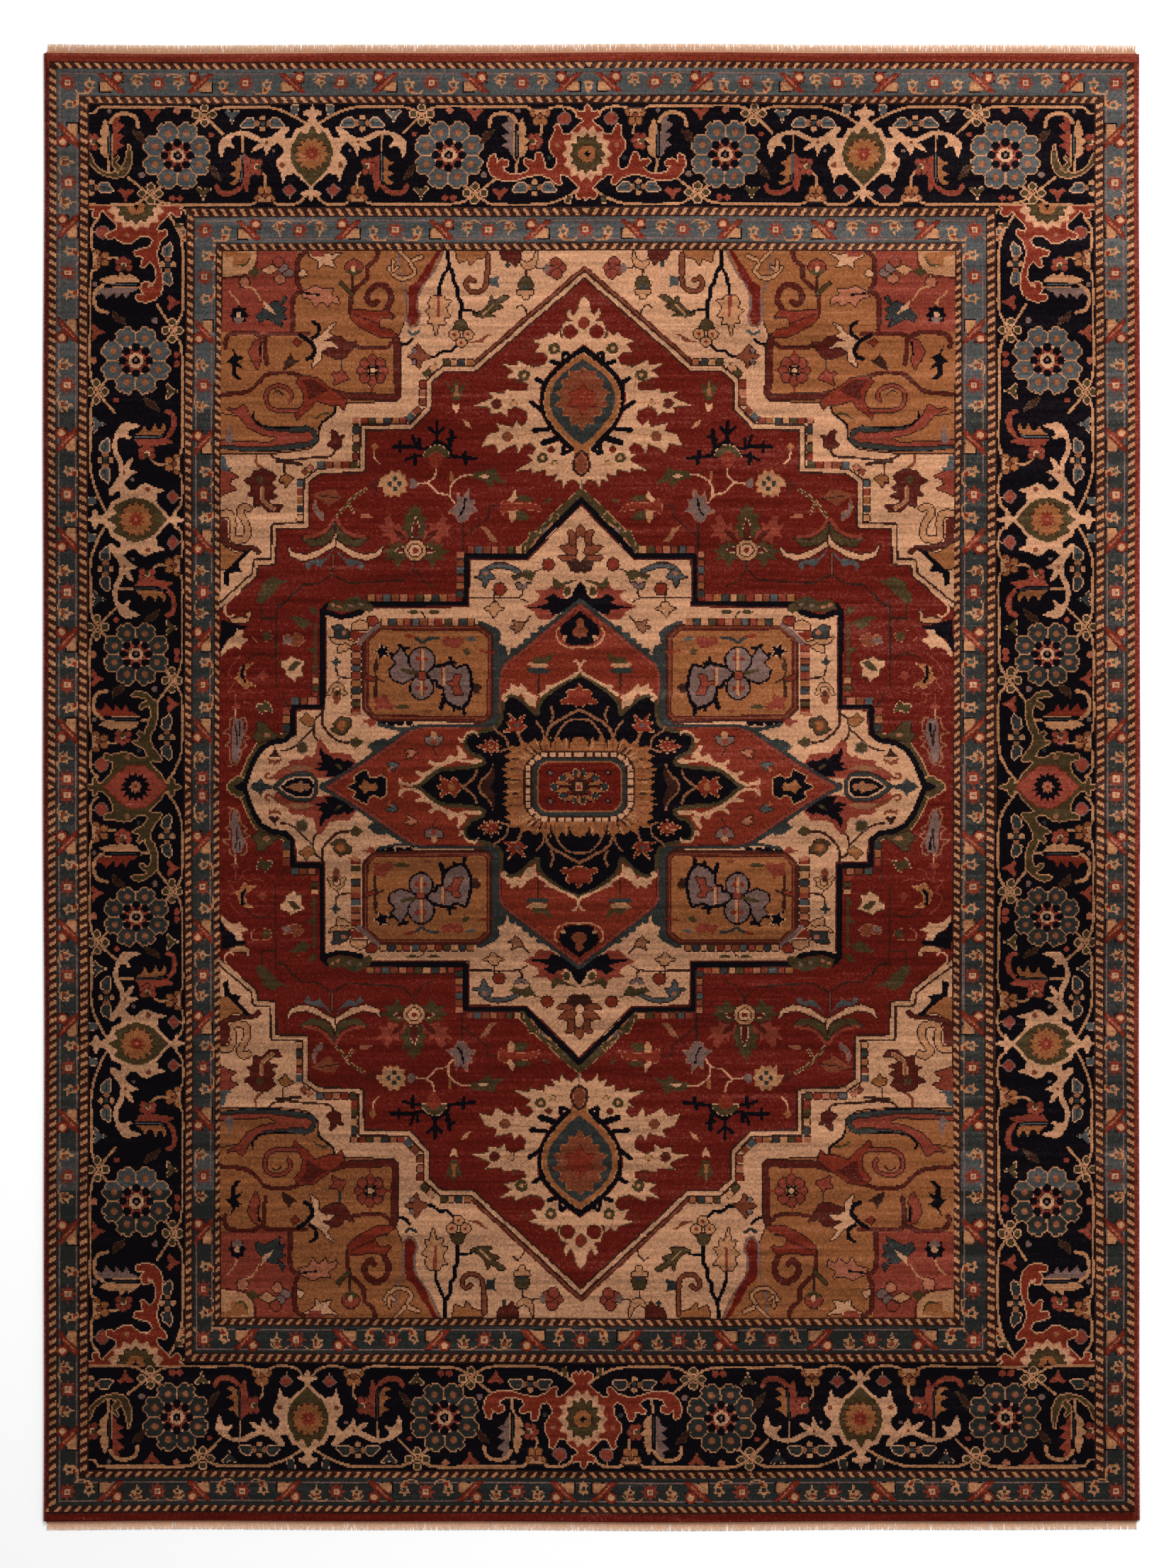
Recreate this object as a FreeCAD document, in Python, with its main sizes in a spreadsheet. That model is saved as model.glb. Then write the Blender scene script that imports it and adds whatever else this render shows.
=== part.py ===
"""Hand-knotted area rug, laid flat: cotton foundation, wool pile by design zone, selvedges, woven ends and fringes.

Millimetres. +X across the rug, +Y along its warps towards the head end, +Z up. The origin is the middle of the
underside. Every solid above the foundation is a block of knotted pile, as tall as the pile."""

import os

import FreeCAD, Part
import Sketcher

doc = FreeCAD.newDocument("AreaRug")
dims = doc.addObject("Spreadsheet::Sheet", "Dims")

# Driving dimensions. A "half" is measured from the rug's middle: across is along X, along is along Y.
DIMENSIONS = {
    "rug_width": 2718,
    "rug_length": 3683,
    "cloth_thickness": 3,
    "pile_height": 9,
    "selvedge_diameter": 7,
    "selvedge_cord": 4.4,
    "web_depth": 5,
    "fringe_depth": 17.5,
    "fringe_thickness": 2.5,
    "fringe_pitch": 30,
    "fringe_gap": 1.5,
    "fringe_taper": 3,
    # Each band's inner edge, across and along.
    "edge_across": 1346,
    "edge_along": 1797,
    "rope_one_across": 1326,
    "rope_one_along": 1779,
    "outer_minor_across": 1270,
    "outer_minor_along": 1712,
    "rope_two_across": 1248,
    "rope_two_along": 1693,
    "main_across": 1004,
    "main_along": 1431,
    "rope_three_across": 982,
    "rope_three_along": 1409,
    "inner_minor_across": 925,
    "inner_minor_along": 1342,
    "rope_four_across": 908,
    "rope_four_along": 1323,
    # The field's motifs were knotted a little to the left of the borders' middle line.
    "drift": 28,
    # Stepped edge of the field's corners, from the middle of the end to the side.
    "step_apex_along": 1262,
    "step_one_across": 262,
    "step_one_along": 1017,
    "step_two_across": 383,
    "step_two_along": 875,
    "step_three_across": 547,
    "step_three_along": 768,
    "step_four_across": 685,
    "step_four_along": 635,
    "step_five_across": 768,
    "step_five_along": 547,
    "step_six_across": 815,
    "step_foot_along": 450,
    # Gold corner pieces.
    "corner_across": 450,
    "corner_notch_across": 610,
    "corner_heel_across": 660,
    "corner_notch_along": 940,
    "corner_along": 815,
    # Medallion.
    "star_apex_along": 702,
    "star_shoulder_across": 140,
    "star_shoulder_along": 564,
    "star_arm_across": 280,
    "star_body_across": 640,
    "star_body_along": 448,
    "star_wing_across": 713,
    "star_wing_along": 194,
    "star_wing_foot_along": 130,
    "star_cheek_across": 800,
    "star_cheek_along": 85,
    "star_tip_across": 870,
    "lozenge_apex_along": 460,
    "lozenge_side_across": 200,
    "lozenge_side_along": 292,
    "lozenge_arm_across": 400,
    "lozenge_arm_along": 155,
    "lozenge_tip_across": 640,
    "panel_inner_across": 212,
    "panel_outer_across": 540,
    "panel_inner_along": 168,
    "panel_outer_along": 395,
    "panel_chamfer": 40,
    "rosette_tip_across": 385,
    "rosette_petal_across": 165,
    "rosette_petal_along": 145,
    "rosette_tip_along": 300,
    "cartouche_across": 170,
    "cartouche_along": 118,
    "cartouche_chamfer": 55,
    # Pendants at the two ends of the field.
    "pendant_outer_along": 1160,
    "pendant_shoulder_across": 150,
    "pendant_shoulder_along": 1070,
    "pendant_side_across": 250,
    "pendant_side_along": 930,
    "pendant_hip_along": 790,
    "pendant_inner_along": 720,
}
for row, (alias, value) in enumerate(DIMENSIONS.items(), start=1):
    dims.set(f"A{row}", alias)
    dims.set(f"B{row}", str(value))
    dims.setAlias(f"B{row}", alias)
doc.recompute()

PILE_FOOT = "Dims.cloth_thickness"
PILE_TOP_HALF = "Dims.rug_length / 2 - Dims.fringe_depth - Dims.web_depth"
PILE_SIDE_HALF = "Dims.rug_width / 2 - Dims.selvedge_diameter"
nodes = []


def bind(thing, **expressions):
    """Bind an object's properties to the sheet. Dots in a property's name are written as two underscores."""
    for name, expression in expressions.items():
        thing.setExpression(name.replace("__", "."), expression)
    return thing


def node(thing, label):
    """Name a finished sub-part and put it on the list to write out."""
    thing.Label = label
    nodes.append(thing)
    return thing


def block(name, across, along, low, height, middle_x="0", middle_y="0"):
    """A flat rectangular block, centred on (middle_x, middle_y)."""
    box = doc.addObject("Part::Box", name)
    return bind(
        box,
        Length=across,
        Width=along,
        Height=height,
        Placement__Base__x=f"({middle_x}) - ({across}) / 2",
        Placement__Base__y=f"({middle_y}) - ({along}) / 2",
        Placement__Base__z=low,
    )


# ------------------------------------------------------------------ foundation, woven ends, fringes, selvedges
def make_foundation():
    cloth = block("FoundationCloth", f"2 * ({PILE_SIDE_HALF})", f"2 * ({PILE_TOP_HALF})", "0", PILE_FOOT)
    node(cloth, "foundation_cloth")


def make_woven_end(side, label):
    """The narrow web that locks the last row of knots."""
    middle = f"{side} * (Dims.rug_length / 2 - Dims.fringe_depth - Dims.web_depth / 2)"
    web = block("Web", f"2 * ({PILE_SIDE_HALF})", "Dims.web_depth", "0", PILE_FOOT, middle_y=middle)
    node(web, label)


def make_fringe(side, label):
    """Cut warp ends in flat bundles, each a little narrower at its free end."""
    width = DIMENSIONS["rug_width"] - 2 * DIMENSIONS["selvedge_diameter"]
    count = int(width // DIMENSIONS["fringe_pitch"])
    bundles = []
    for i in range(count):
        bundle = doc.addObject("Part::Wedge", "Bundle")
        half = "(Dims.fringe_pitch - Dims.fringe_gap) / 2"
        bind(
            bundle,
            Xmin=f"-{half}",
            Xmax=half,
            Zmin="0",
            Zmax="Dims.fringe_thickness",
            Ymin="0",
            Ymax="Dims.fringe_depth",
            X2min=f"-{half} + Dims.fringe_taper",
            X2max=f"{half} - Dims.fringe_taper",
            Z2min="0",
            Z2max="Dims.fringe_thickness",
            Placement__Base__x=f"{side} * Dims.fringe_pitch * {i - (count - 1) / 2}",
            Placement__Base__y=f"{side} * (Dims.rug_length / 2 - Dims.fringe_depth)",
        )
        bind(bundle, Placement__Rotation__Angle="0" if side > 0 else "180")
        bundle.Placement.Rotation.Axis = FreeCAD.Vector(0, 0, 1)
        bundles.append(bundle)
    fringe = doc.addObject("Part::Compound", "Fringe")
    fringe.Links = bundles
    node(fringe, label)


def make_selvedge(side, name):
    """One long edge: a thick cotton cord, and the red wool wound round it."""
    length = f"2 * ({PILE_TOP_HALF})"
    turn = FreeCAD.Rotation(FreeCAD.Vector(1, 0, 0), -90)

    def rod(part_name, radius):
        cylinder = doc.addObject("Part::Cylinder", part_name)
        cylinder.Placement = FreeCAD.Placement(FreeCAD.Vector(), turn)
        return bind(
            cylinder,
            Radius=radius,
            Height=length,
            Placement__Base__x=f"{side} * (Dims.rug_width - Dims.selvedge_diameter) / 2",
            Placement__Base__y=f"-({length}) / 2",
            Placement__Base__z="Dims.selvedge_diameter / 2",
        )

    core = rod("SelvedgeCore", "Dims.selvedge_cord / 2")
    wrap = doc.addObject("Part::Cut", "SelvedgeWrap")
    wrap.Base = rod("WrapOutside", "Dims.selvedge_diameter / 2")
    wrap.Tool = core
    node(core, f"selvedge_core_{name}")
    node(wrap, f"selvedge_wrap_{name}")


# ------------------------------------------------------------------ bands of pile round the field
def make_band(label, outer_across, outer_along, inner_across, inner_along):
    """One band as four straight runs of pile: head, foot, left and right. The head and foot runs hold the corners."""
    depth = f"({outer_along}) - ({inner_along})"
    middle = f"(({outer_along}) + ({inner_along})) / 2"
    for end, sign in (("head", 1), ("foot", -1)):
        run = block("Run", f"2 * ({outer_across})", depth, PILE_FOOT, "Dims.pile_height",
                    middle_y=f"{sign} * {middle}")
        node(run, f"{label}_{end}")
    depth = f"({outer_across}) - ({inner_across})"
    middle = f"(({outer_across}) + ({inner_across})) / 2"
    for side, sign in (("left", -1), ("right", 1)):
        run = block("Run", depth, f"2 * ({inner_along})", PILE_FOOT, "Dims.pile_height",
                    middle_x=f"{sign} * {middle}")
        node(run, f"{label}_{side}")


def make_bands():
    outer = (PILE_SIDE_HALF, PILE_TOP_HALF)
    for label, cell in (
        ("edge_band", "edge"),
        ("rope_stripe_one", "rope_one"),
        ("outer_minor_border", "outer_minor"),
        ("rope_stripe_two", "rope_two"),
        ("main_border", "main"),
        ("rope_stripe_three", "rope_three"),
        ("inner_minor_border", "inner_minor"),
        ("rope_stripe_four", "rope_four"),
    ):
        inner = (f"Dims.{cell}_across", f"Dims.{cell}_along")
        make_band(label, *outer, *inner)
        outer = inner


# ------------------------------------------------------------------ shaped blocks of pile in the field
def signed(cell, sign):
    """A corner's coordinate as an expression: a cell's name with a sign, or nothing on the middle line."""
    return None if cell is None else f"{'-' if sign < 0 else ''}Dims.{cell}"


def all_round(quarter):
    """A closed outline from its first-quadrant corners, listed from the head's middle line to the side."""
    corners = []
    for sign_x, sign_y, order in ((1, 1, 1), (1, -1, -1), (-1, -1, 1), (-1, 1, -1)):
        for x, y in quarter[::order]:
            corner = (signed(x, sign_x), signed(y, sign_y))
            if corner not in corners:
                corners.append(corner)
    return corners


def one_corner(quarter, sign_x, sign_y):
    return [(signed(x, sign_x), signed(y, sign_y)) for x, y in quarter]


def across_middle(half, sign_y):
    """A closed outline symmetric about the rug's long middle line, from the corners on its right side."""
    right = [(signed(x, 1), signed(y, sign_y)) for x, y in half]
    left = [(signed(x, -1), signed(y, sign_y)) for x, y in reversed(half) if x is not None]
    return right + left


def value_of(expression):
    """The number a corner's expression gives, so that the sketch starts in its final place."""
    if expression is None:
        return 0.0
    sign = -1 if expression.startswith("-") else 1
    return sign * float(DIMENSIONS[expression.split(".")[1]])


def pile_block(name, corners, drift="-Dims.drift"):
    """A padded sketch of straight lines whose corners are bound to the sheet."""
    body = doc.addObject("PartDesign::Body", name)
    sketch = body.newObject("Sketcher::SketchObject", f"{name}Outline")
    plane = next(p for p in body.Origin.OriginFeatures if p.Role == "XY_Plane")
    sketch.AttachmentSupport = [(plane, "")]
    sketch.MapMode = "FlatFace"
    points = [FreeCAD.Vector(value_of(x), value_of(y), 0) for x, y in corners]
    for start, end in zip(points, points[1:] + points[:1]):
        sketch.addGeometry(Part.LineSegment(start, end), False)
    count = len(points)
    for i in range(count):
        sketch.addConstraint(Sketcher.Constraint("Coincident", i, 2, (i + 1) % count, 1))
    for i, corner in enumerate(corners):
        for kind, axis, expression, value in (
            ("DistanceX", -2, corner[0], points[i].x),
            ("DistanceY", -1, corner[1], points[i].y),
        ):
            if expression is None:
                sketch.addConstraint(Sketcher.Constraint("PointOnObject", i, 1, axis))
                continue
            index = sketch.addConstraint(Sketcher.Constraint(kind, -1, 1, i, 1, value))
            sketch.setExpression(f"Constraints[{index}]", expression)
    pad = body.newObject("PartDesign::Pad", f"{name}Pad")
    pad.Profile = sketch
    pad.setExpression("Length", "Dims.pile_height")
    bind(body, Placement__Base__x=drift, Placement__Base__z=PILE_FOOT)
    return body


def cut(name, base, tools):
    """What is left of a block after the motifs knotted inside it are taken out."""
    tool = tools[0]
    if len(tools) > 1:
        tool = doc.addObject("Part::Compound", f"{name}Motifs")
        tool.Links = tools
    rest = doc.addObject("Part::Cut", name)
    rest.Base = base
    rest.Tool = tool
    return rest


CORNERS = (("head_left", -1, 1), ("head_right", 1, 1), ("foot_left", -1, -1), ("foot_right", 1, -1))
STEPPED_EDGE = [
    (None, "step_apex_along"),
    ("step_one_across", "step_one_along"),
    ("step_two_across", "step_one_along"),
    ("step_two_across", "step_two_along"),
    ("step_three_across", "step_two_along"),
    ("step_three_across", "step_three_along"),
    ("step_four_across", "step_three_along"),
    ("step_four_across", "step_four_along"),
    ("step_five_across", "step_four_along"),
    ("step_five_across", "step_five_along"),
    ("step_six_across", "step_five_along"),
    ("rope_four_across", "step_foot_along"),
]
CORNER_EDGE = [
    ("rope_four_across", "corner_along"),
    ("corner_heel_across", "corner_along"),
    ("corner_notch_across", "corner_notch_along"),
    ("corner_across", "corner_notch_along"),
    ("corner_across", "rope_four_along"),
]
STAR = [
    (None, "star_apex_along"),
    ("star_shoulder_across", "star_shoulder_along"),
    ("star_arm_across", "star_shoulder_along"),
    ("star_arm_across", "star_body_along"),
    ("star_body_across", "star_body_along"),
    ("star_body_across", "star_wing_along"),
    ("star_wing_across", "star_wing_along"),
    ("star_wing_across", "star_wing_foot_along"),
    ("star_cheek_across", "star_cheek_along"),
    ("star_tip_across", None),
]
LOZENGE = [
    (None, "lozenge_apex_along"),
    ("lozenge_side_across", "lozenge_side_along"),
    ("lozenge_side_across", "lozenge_arm_along"),
    ("lozenge_arm_across", "lozenge_arm_along"),
    ("lozenge_tip_across", None),
]
ROSETTE = [
    (None, "rosette_tip_along"),
    ("rosette_petal_across", "rosette_petal_along"),
    ("rosette_tip_across", None),
]
PENDANT = [
    (None, "pendant_outer_along"),
    ("pendant_shoulder_across", "pendant_shoulder_along"),
    ("pendant_side_across", "pendant_side_along"),
    ("pendant_shoulder_across", "pendant_hip_along"),
    (None, "pendant_inner_along"),
]


def chamfered(label, chamfer, blank):
    """A rectangular block of pile with its four upright edges taken off."""
    edges = [i for i, edge in enumerate(blank.Shape.Edges, start=1)
             if abs(edge.Vertexes[0].Z - edge.Vertexes[-1].Z) > 0.5 * DIMENSIONS["pile_height"]]
    shape = doc.addObject("Part::Chamfer", label)
    shape.Base = blank
    shape.Edges = [(i, chamfer, chamfer) for i in edges]
    return shape


def make_medallion():
    """The medallion's pieces, one inside the other: star, panels, lozenge, rosette and cartouche."""
    star = pile_block("Star", all_round(STAR))
    lozenge = pile_block("Lozenge", all_round(LOZENGE))
    rosette = pile_block("Rosette", all_round(ROSETTE))
    size = ("2 * Dims.cartouche_across", "2 * Dims.cartouche_along")
    blank = block("CartoucheBlank", *size, PILE_FOOT, "Dims.pile_height", middle_x="-Dims.drift")
    doc.recompute()
    cartouche = chamfered("Cartouche", DIMENSIONS["cartouche_chamfer"], blank)
    panels = []
    for label, sign_x, sign_y in CORNERS:
        size = [f"Dims.panel_outer_{way} - Dims.panel_inner_{way}" for way in ("across", "along")]
        middle = [f"(Dims.panel_outer_{way} + Dims.panel_inner_{way}) / 2" for way in ("across", "along")]
        blank = block("PanelBlank", *size, PILE_FOOT, "Dims.pile_height",
                      middle_x=f"{sign_x} * {middle[0]} - Dims.drift", middle_y=f"{sign_y} * {middle[1]}")
        doc.recompute()
        panel = chamfered("Panel", DIMENSIONS["panel_chamfer"], blank)
        panels.append(node(panel, f"medallion_panel_{label}"))
    node(cartouche, "medallion_cartouche")
    node(cut("RosetteGround", rosette, [cartouche]), "medallion_rosette")
    node(cut("LozengeGround", lozenge, [rosette]), "medallion_lozenge")
    node(cut("StarGround", star, [lozenge, *panels]), "medallion_star")
    return star


def make_pendant(end, sign):
    return node(pile_block("Pendant", across_middle(PENDANT, sign)), f"pendant_{end}")


def make_field():
    """The red ground, with the corners, pendants and medallion knotted into it."""
    motifs = [make_medallion(), make_pendant("head", 1), make_pendant("foot", -1)]
    for label, sign_x, sign_y in CORNERS:
        top = [(None, "rope_four_along")]
        whole = STEPPED_EDGE + [("rope_four_across", "rope_four_along")] + top
        area = pile_block("CornerArea", one_corner(whole, sign_x, sign_y), drift="0")
        gold_edge = CORNER_EDGE + [("rope_four_across", "rope_four_along")]
        gold = pile_block("CornerPiece", one_corner(gold_edge, sign_x, sign_y), drift="0")
        node(gold, f"corner_piece_{label}")
        node(cut("CornerBand", area, [gold]), f"corner_band_{label}")
        motifs.append(area)
    whole = block("FieldArea", "2 * Dims.rope_four_across", "2 * Dims.rope_four_along", PILE_FOOT,
                  "Dims.pile_height")
    node(cut("FieldGround", whole, motifs), "field_ground")


make_foundation()
for end, sign in (("head", 1), ("foot", -1)):
    make_woven_end(sign, f"woven_end_{end}")
    make_fringe(sign, f"fringe_{end}")
for side, sign in (("left", -1), ("right", 1)):
    make_selvedge(sign, side)
make_bands()
make_field()
doc.recompute()

for thing in doc.Objects:
    assert not {"Invalid", "Error"} & set(thing.State), (thing.Label, thing.State)
os.makedirs("parts", exist_ok=True)
for thing in nodes:
    shape = thing.Shape
    assert not shape.isNull() and shape.isValid(), thing.Label
    shape.exportStep(f"parts/{thing.Label}.step")
    print(thing.Label, len(shape.Solids), round(shape.Volume / 1000), "cm3")
print(len(nodes), "nodes")
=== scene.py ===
"""Hand-knotted wool rug on the CAD frame, in metres: every knot of the pile is a face in its yarn's colour."""
import math

import bpy
import numpy as np
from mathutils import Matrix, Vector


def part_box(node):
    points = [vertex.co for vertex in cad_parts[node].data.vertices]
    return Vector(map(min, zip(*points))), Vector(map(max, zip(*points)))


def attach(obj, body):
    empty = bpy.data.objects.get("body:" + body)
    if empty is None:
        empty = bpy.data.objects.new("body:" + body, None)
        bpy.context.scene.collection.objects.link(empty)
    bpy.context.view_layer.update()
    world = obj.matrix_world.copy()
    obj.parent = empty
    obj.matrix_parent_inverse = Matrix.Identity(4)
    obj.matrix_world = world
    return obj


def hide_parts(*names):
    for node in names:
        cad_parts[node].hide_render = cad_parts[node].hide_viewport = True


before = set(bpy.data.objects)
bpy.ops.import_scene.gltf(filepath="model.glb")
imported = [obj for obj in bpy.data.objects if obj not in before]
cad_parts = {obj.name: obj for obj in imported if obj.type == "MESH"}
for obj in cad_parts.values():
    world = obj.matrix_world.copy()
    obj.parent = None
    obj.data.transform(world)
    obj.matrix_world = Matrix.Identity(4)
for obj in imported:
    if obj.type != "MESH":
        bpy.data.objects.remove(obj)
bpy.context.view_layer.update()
SEED = 1906
random = np.random.default_rng(SEED)

# ------------------------ drawing kit: a quarter of the design, half a knot to a sample
FINE = 0.175          # cm between samples of the drawn quarter: half a knot
QUARTER = (135.2, 181.9)
COLUMNS, ROWS = round(QUARTER[0] / FINE), round(QUARTER[1] / FINE)
STITCH = 0.4          # cm, one row of knots: the width of an outline

YARNS = ["red", "deep_red", "brick", "rust", "navy", "ivory", "gold", "tan", "blue", "teal", "olive",
         "pink", "mauve", "brown", "orange", "coral"]
INDEX = {name: i for i, name in enumerate(YARNS)}
quarter = np.full((ROWS, COLUMNS), INDEX["red"], np.uint8)


def smooth(points):
    """Catmull-Rom curve through the points, with six steps from each to the next."""
    p = np.asarray(points, float)
    p = np.vstack([2 * p[0] - p[1], p, 2 * p[-1] - p[-2]])
    t = np.linspace(0, 1, 6, endpoint=False)[:, None]
    out = []
    for a, b, c, d in zip(p, p[1:], p[2:], p[3:]):
        square, cube = 2 * a - 5 * b + 4 * c - d, 3 * b - a - 3 * c + d
        out.append(0.5 * (2 * b + (c - a) * t + square * t**2 + cube * t**3))
    return np.vstack([*out, p[-2]])


def window(points, margin):
    """The slice of the quarter that holds the points."""
    lo = np.floor((points.min(0) - margin) / FINE).astype(int)
    hi = np.ceil((points.max(0) + margin) / FINE).astype(int)
    x0, x1 = max(lo[0], 0), min(hi[0], COLUMNS)
    y0, y1 = max(lo[1], 0), min(hi[1], ROWS)
    return x0, x1, y0, y1


def inside(points, x0, x1, y0, y1):
    """Even-odd fill of a polygon over a window, row by row."""
    flips = np.zeros((y1 - y0, x1 - x0 + 1), np.int32)
    for (ax, ay), (bx, by) in zip(points, np.roll(points, -1, 0)):
        if ay == by:
            continue
        if ay > by:
            ax, ay, bx, by = bx, by, ax, ay
        first = max(math.ceil(ay / FINE - 0.5), y0)
        last = min(math.ceil(by / FINE - 0.5), y1)
        if first >= last:
            continue
        rows = np.arange(first, last)
        cross = ax + (bx - ax) * ((rows + 0.5) * FINE - ay) / (by - ay)
        columns = np.clip(np.ceil(cross / FINE - 0.5).astype(int), x0, x1) - x0
        np.add.at(flips, (rows - y0, columns), 1)
    return (np.cumsum(flips, 1)[:, :-1] % 2).astype(bool)


def grow(mask, steps):
    """The mask with a rim of so many samples added all round."""
    for _ in range(steps):
        bigger = mask.copy()
        bigger[1:] |= mask[:-1]
        bigger[:-1] |= mask[1:]
        bigger[:, 1:] |= mask[:, :-1]
        bigger[:, :-1] |= mask[:, 1:]
        mask = bigger
    return mask


class Pen:
    """Draws in a motif's own centimetres: moved, turned, mirrored and scaled onto the quarter."""

    def __init__(self, x=0, y=0, matrix=((1, 0), (0, 1))):
        self.matrix = np.array(matrix, float)
        self.move = np.array([x, y], float)

    def scaled(self, x, y):
        """The same pen with its own axes scaled, or mirrored by a negative scale."""
        return Pen(*self.move, self.matrix @ np.diag([x, y]))

    def at(self, points):
        return np.asarray(points, float) @ self.matrix.T + self.move

    def area(self, points, yarn, edge=None, wide=2):
        """Fill a shape; edge is the yarn of the outline round it, wide its width in half knots."""
        p = self.at(points)
        x0, x1, y0, y1 = window(p, 4 * STITCH)
        if x0 < x1 and y0 < y1:
            self.dye(quarter[y0:y1, x0:x1], inside(p, x0, x1, y0, y1), yarn, edge, wide)

    def dye(self, view, mask, yarn, edge, wide):
        if edge:
            view[grow(mask, wide)] = INDEX[edge]
        view[mask] = INDEX[yarn]

    def line(self, points, yarn, width, edge=None, curved=True, wide=2):
        """A stem or outline of even width."""
        p = self.at(smooth(points) if curved and len(points) > 2 else points)
        x0, x1, y0, y1 = window(p, width + 4 * STITCH)
        if x0 >= x1 or y0 >= y1:
            return
        mask = np.zeros((y1 - y0, x1 - x0), bool)
        for a, b in zip(p, p[1:]):
            pair = np.array([a, b])
            c0, c1, r0, r1 = window(pair, width)
            c0, c1, r0, r1 = max(c0, x0), min(c1, x1), max(r0, y0), min(r1, y1)
            if c0 >= c1 or r0 >= r1:
                continue
            x = (np.arange(c0, c1) + 0.5) * FINE
            y = ((np.arange(r0, r1) + 0.5) * FINE)[:, None]
            d = b - a
            t = np.clip(((x - a[0]) * d[0] + (y - a[1]) * d[1]) / max(d @ d, 1e-9), 0, 1)
            near = (x - a[0] - t * d[0]) ** 2 + (y - a[1] - t * d[1]) ** 2 <= (width / 2) ** 2
            mask[r0 - y0 : r1 - y0, c0 - x0 : c1 - x0] |= near
        self.dye(quarter[y0:y1, x0:x1], mask, yarn, edge, wide)

    def disc(self, x, y, rx, ry, yarn, edge=None, wide=2):
        t = np.linspace(0, 2 * math.pi, 24, endpoint=False)
        self.area(np.stack([x + rx * np.cos(t), y + ry * np.sin(t)], 1), yarn, edge, wide)

    def star(self, x, y, points, out, inn, yarn, edge=None, phase=0.0, stretch=1.0, wide=2):
        """A star whose points reach out to one radius and whose notches reach in to the other."""
        t = np.arange(2 * points) * math.pi / points + math.radians(phase)
        r = np.where(np.arange(2 * points) % 2 == 0, out, inn)
        self.area(np.stack([x + r * np.cos(t), y + stretch * r * np.sin(t)], 1), yarn, edge, wide)

    def blade(self, x, y, turn, length, width, yarn, edge=None):
        """A straight pointed leaf about its middle."""
        a = math.radians(turn)
        along = np.array([math.cos(a), math.sin(a)]) * length / 2
        side = np.array([-math.sin(a), math.cos(a)]) * width / 2
        mid = np.array([x, y], float)
        p = [mid - along, mid - along * 0.4 - side * 0.9, mid + along * 0.2 - side,
             mid + along, mid + along * 0.2 + side, mid - along * 0.4 + side * 0.9]
        self.area(p, yarn, edge=edge, wide=1)

    def leaf(self, points, widths, yarn, edge=None):
        """A blade along a curved spine, with a width at each of its points."""
        s = smooth(points)
        w = np.interp(np.linspace(0, 1, len(s)), np.linspace(0, 1, len(widths)), widths)[:, None] / 2
        d = np.gradient(s, axis=0)
        n = np.stack([-d[:, 1], d[:, 0]], 1) / np.maximum(np.hypot(d[:, 0], d[:, 1]), 1e-9)[:, None]
        self.area(np.vstack([s + n * w, (s - n * w)[::-1]]), yarn, edge)


# ------------------------ main border: s along it from its middle, t across it, outwards
RED_ARM = [(0, 12.4), (0.7, 11.7), (0.8, 10.5), (2.6, 10.9), (2.9, 9.6), (1.4, 9.2), (1, 8.4), (3.4, 6.4),
           (4.4, 5), (6, 4.9), (7.3, 7.6), (8.2, 7.2), (8, 5.5), (9.3, 3.3), (9.2, 1.3), (7.6, -0.9),
           (7.5, -2.8), (8.7, -4.1), (10.3, -3.4), (11.5, 0.6), (12.6, 0.3), (12.9, -1.8), (15.4, -1.1),
           (15.6, -1.9), (14.1, -3.4), (15.4, -4.7), (18.2, -5.1), (20.4, -4.2), (20.8, -2.8), (19.6, -3),
           (19.6, -1.7), (21.2, -1.1), (22.5, -2.2), (22.8, 0.2), (23.9, -0.2), (24.5, -2.2), (23.8, -4.6),
           (22.3, -5.9), (20, -6.5), (17, -6.2), (14, -5.2), (11.5, -4.9), (9, -5.8), (7.2, -7.4),
           (6.2, -7.2), (6.8, -5.2), (5.4, -4.9), (4, -5.9), (1.4, -8.4), (2.4, -9.6), (2.4, -10.7),
           (1.4, -11.2), (0.6, -10.4), (0, -11.6)]
OLIVE_ARM = [(0, 12.1), (0.5, 11.6), (0.5, 10.6), (2, 10.6), (2.2, 9.9), (0.8, 9.4), (0.8, 8.4), (1.8, 7.4),
             (3.4, 6), (5.4, 5.4), (6.3, 5.7), (6.9, 7.6), (8.1, 7.8), (7.9, 5.9), (8.5, 2.9), (8.1, 1),
             (7, -0.6), (7, -2.2), (7.7, -3.1), (9.6, -2), (11.2, 1), (11.4, -0.6), (12.2, -1.1),
             (13.3, -0.4), (13.8, -0.8), (12.8, -2.4), (14.2, -2.6), (15.8, -3.3), (17.3, -3.8),
             (18.7, -3.9), (20.1, -3.2), (20, -2.4), (19.2, -1.7), (19.3, -0.9), (20.2, -1.3), (20.8, -2.2),
             (21.2, -3), (21.8, -2.6), (22.1, -1.4), (22.3, 0.6), (22.5, 1.2), (23.2, 0.4), (23.5, -0.8),
             (22.9, -2.6), (21.6, -4.2), (20.8, -5.1), (19, -5.3), (16.6, -5.2), (14, -4.4), (12.8, -3.4),
             (11.4, -3.5), (9.3, -4.6), (7.6, -6), (6.6, -6.4), (6.4, -5.4), (6.6, -4.4), (6, -3.2),
             (4.6, -4.6), (3, -6.2), (1.6, -6.9), (0.8, -7.6), (0.8, -8.4), (2.1, -8.6), (2.2, -9.2),
             (0.7, -9.6), (0.5, -10.4), (0, -11.6)]
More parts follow.
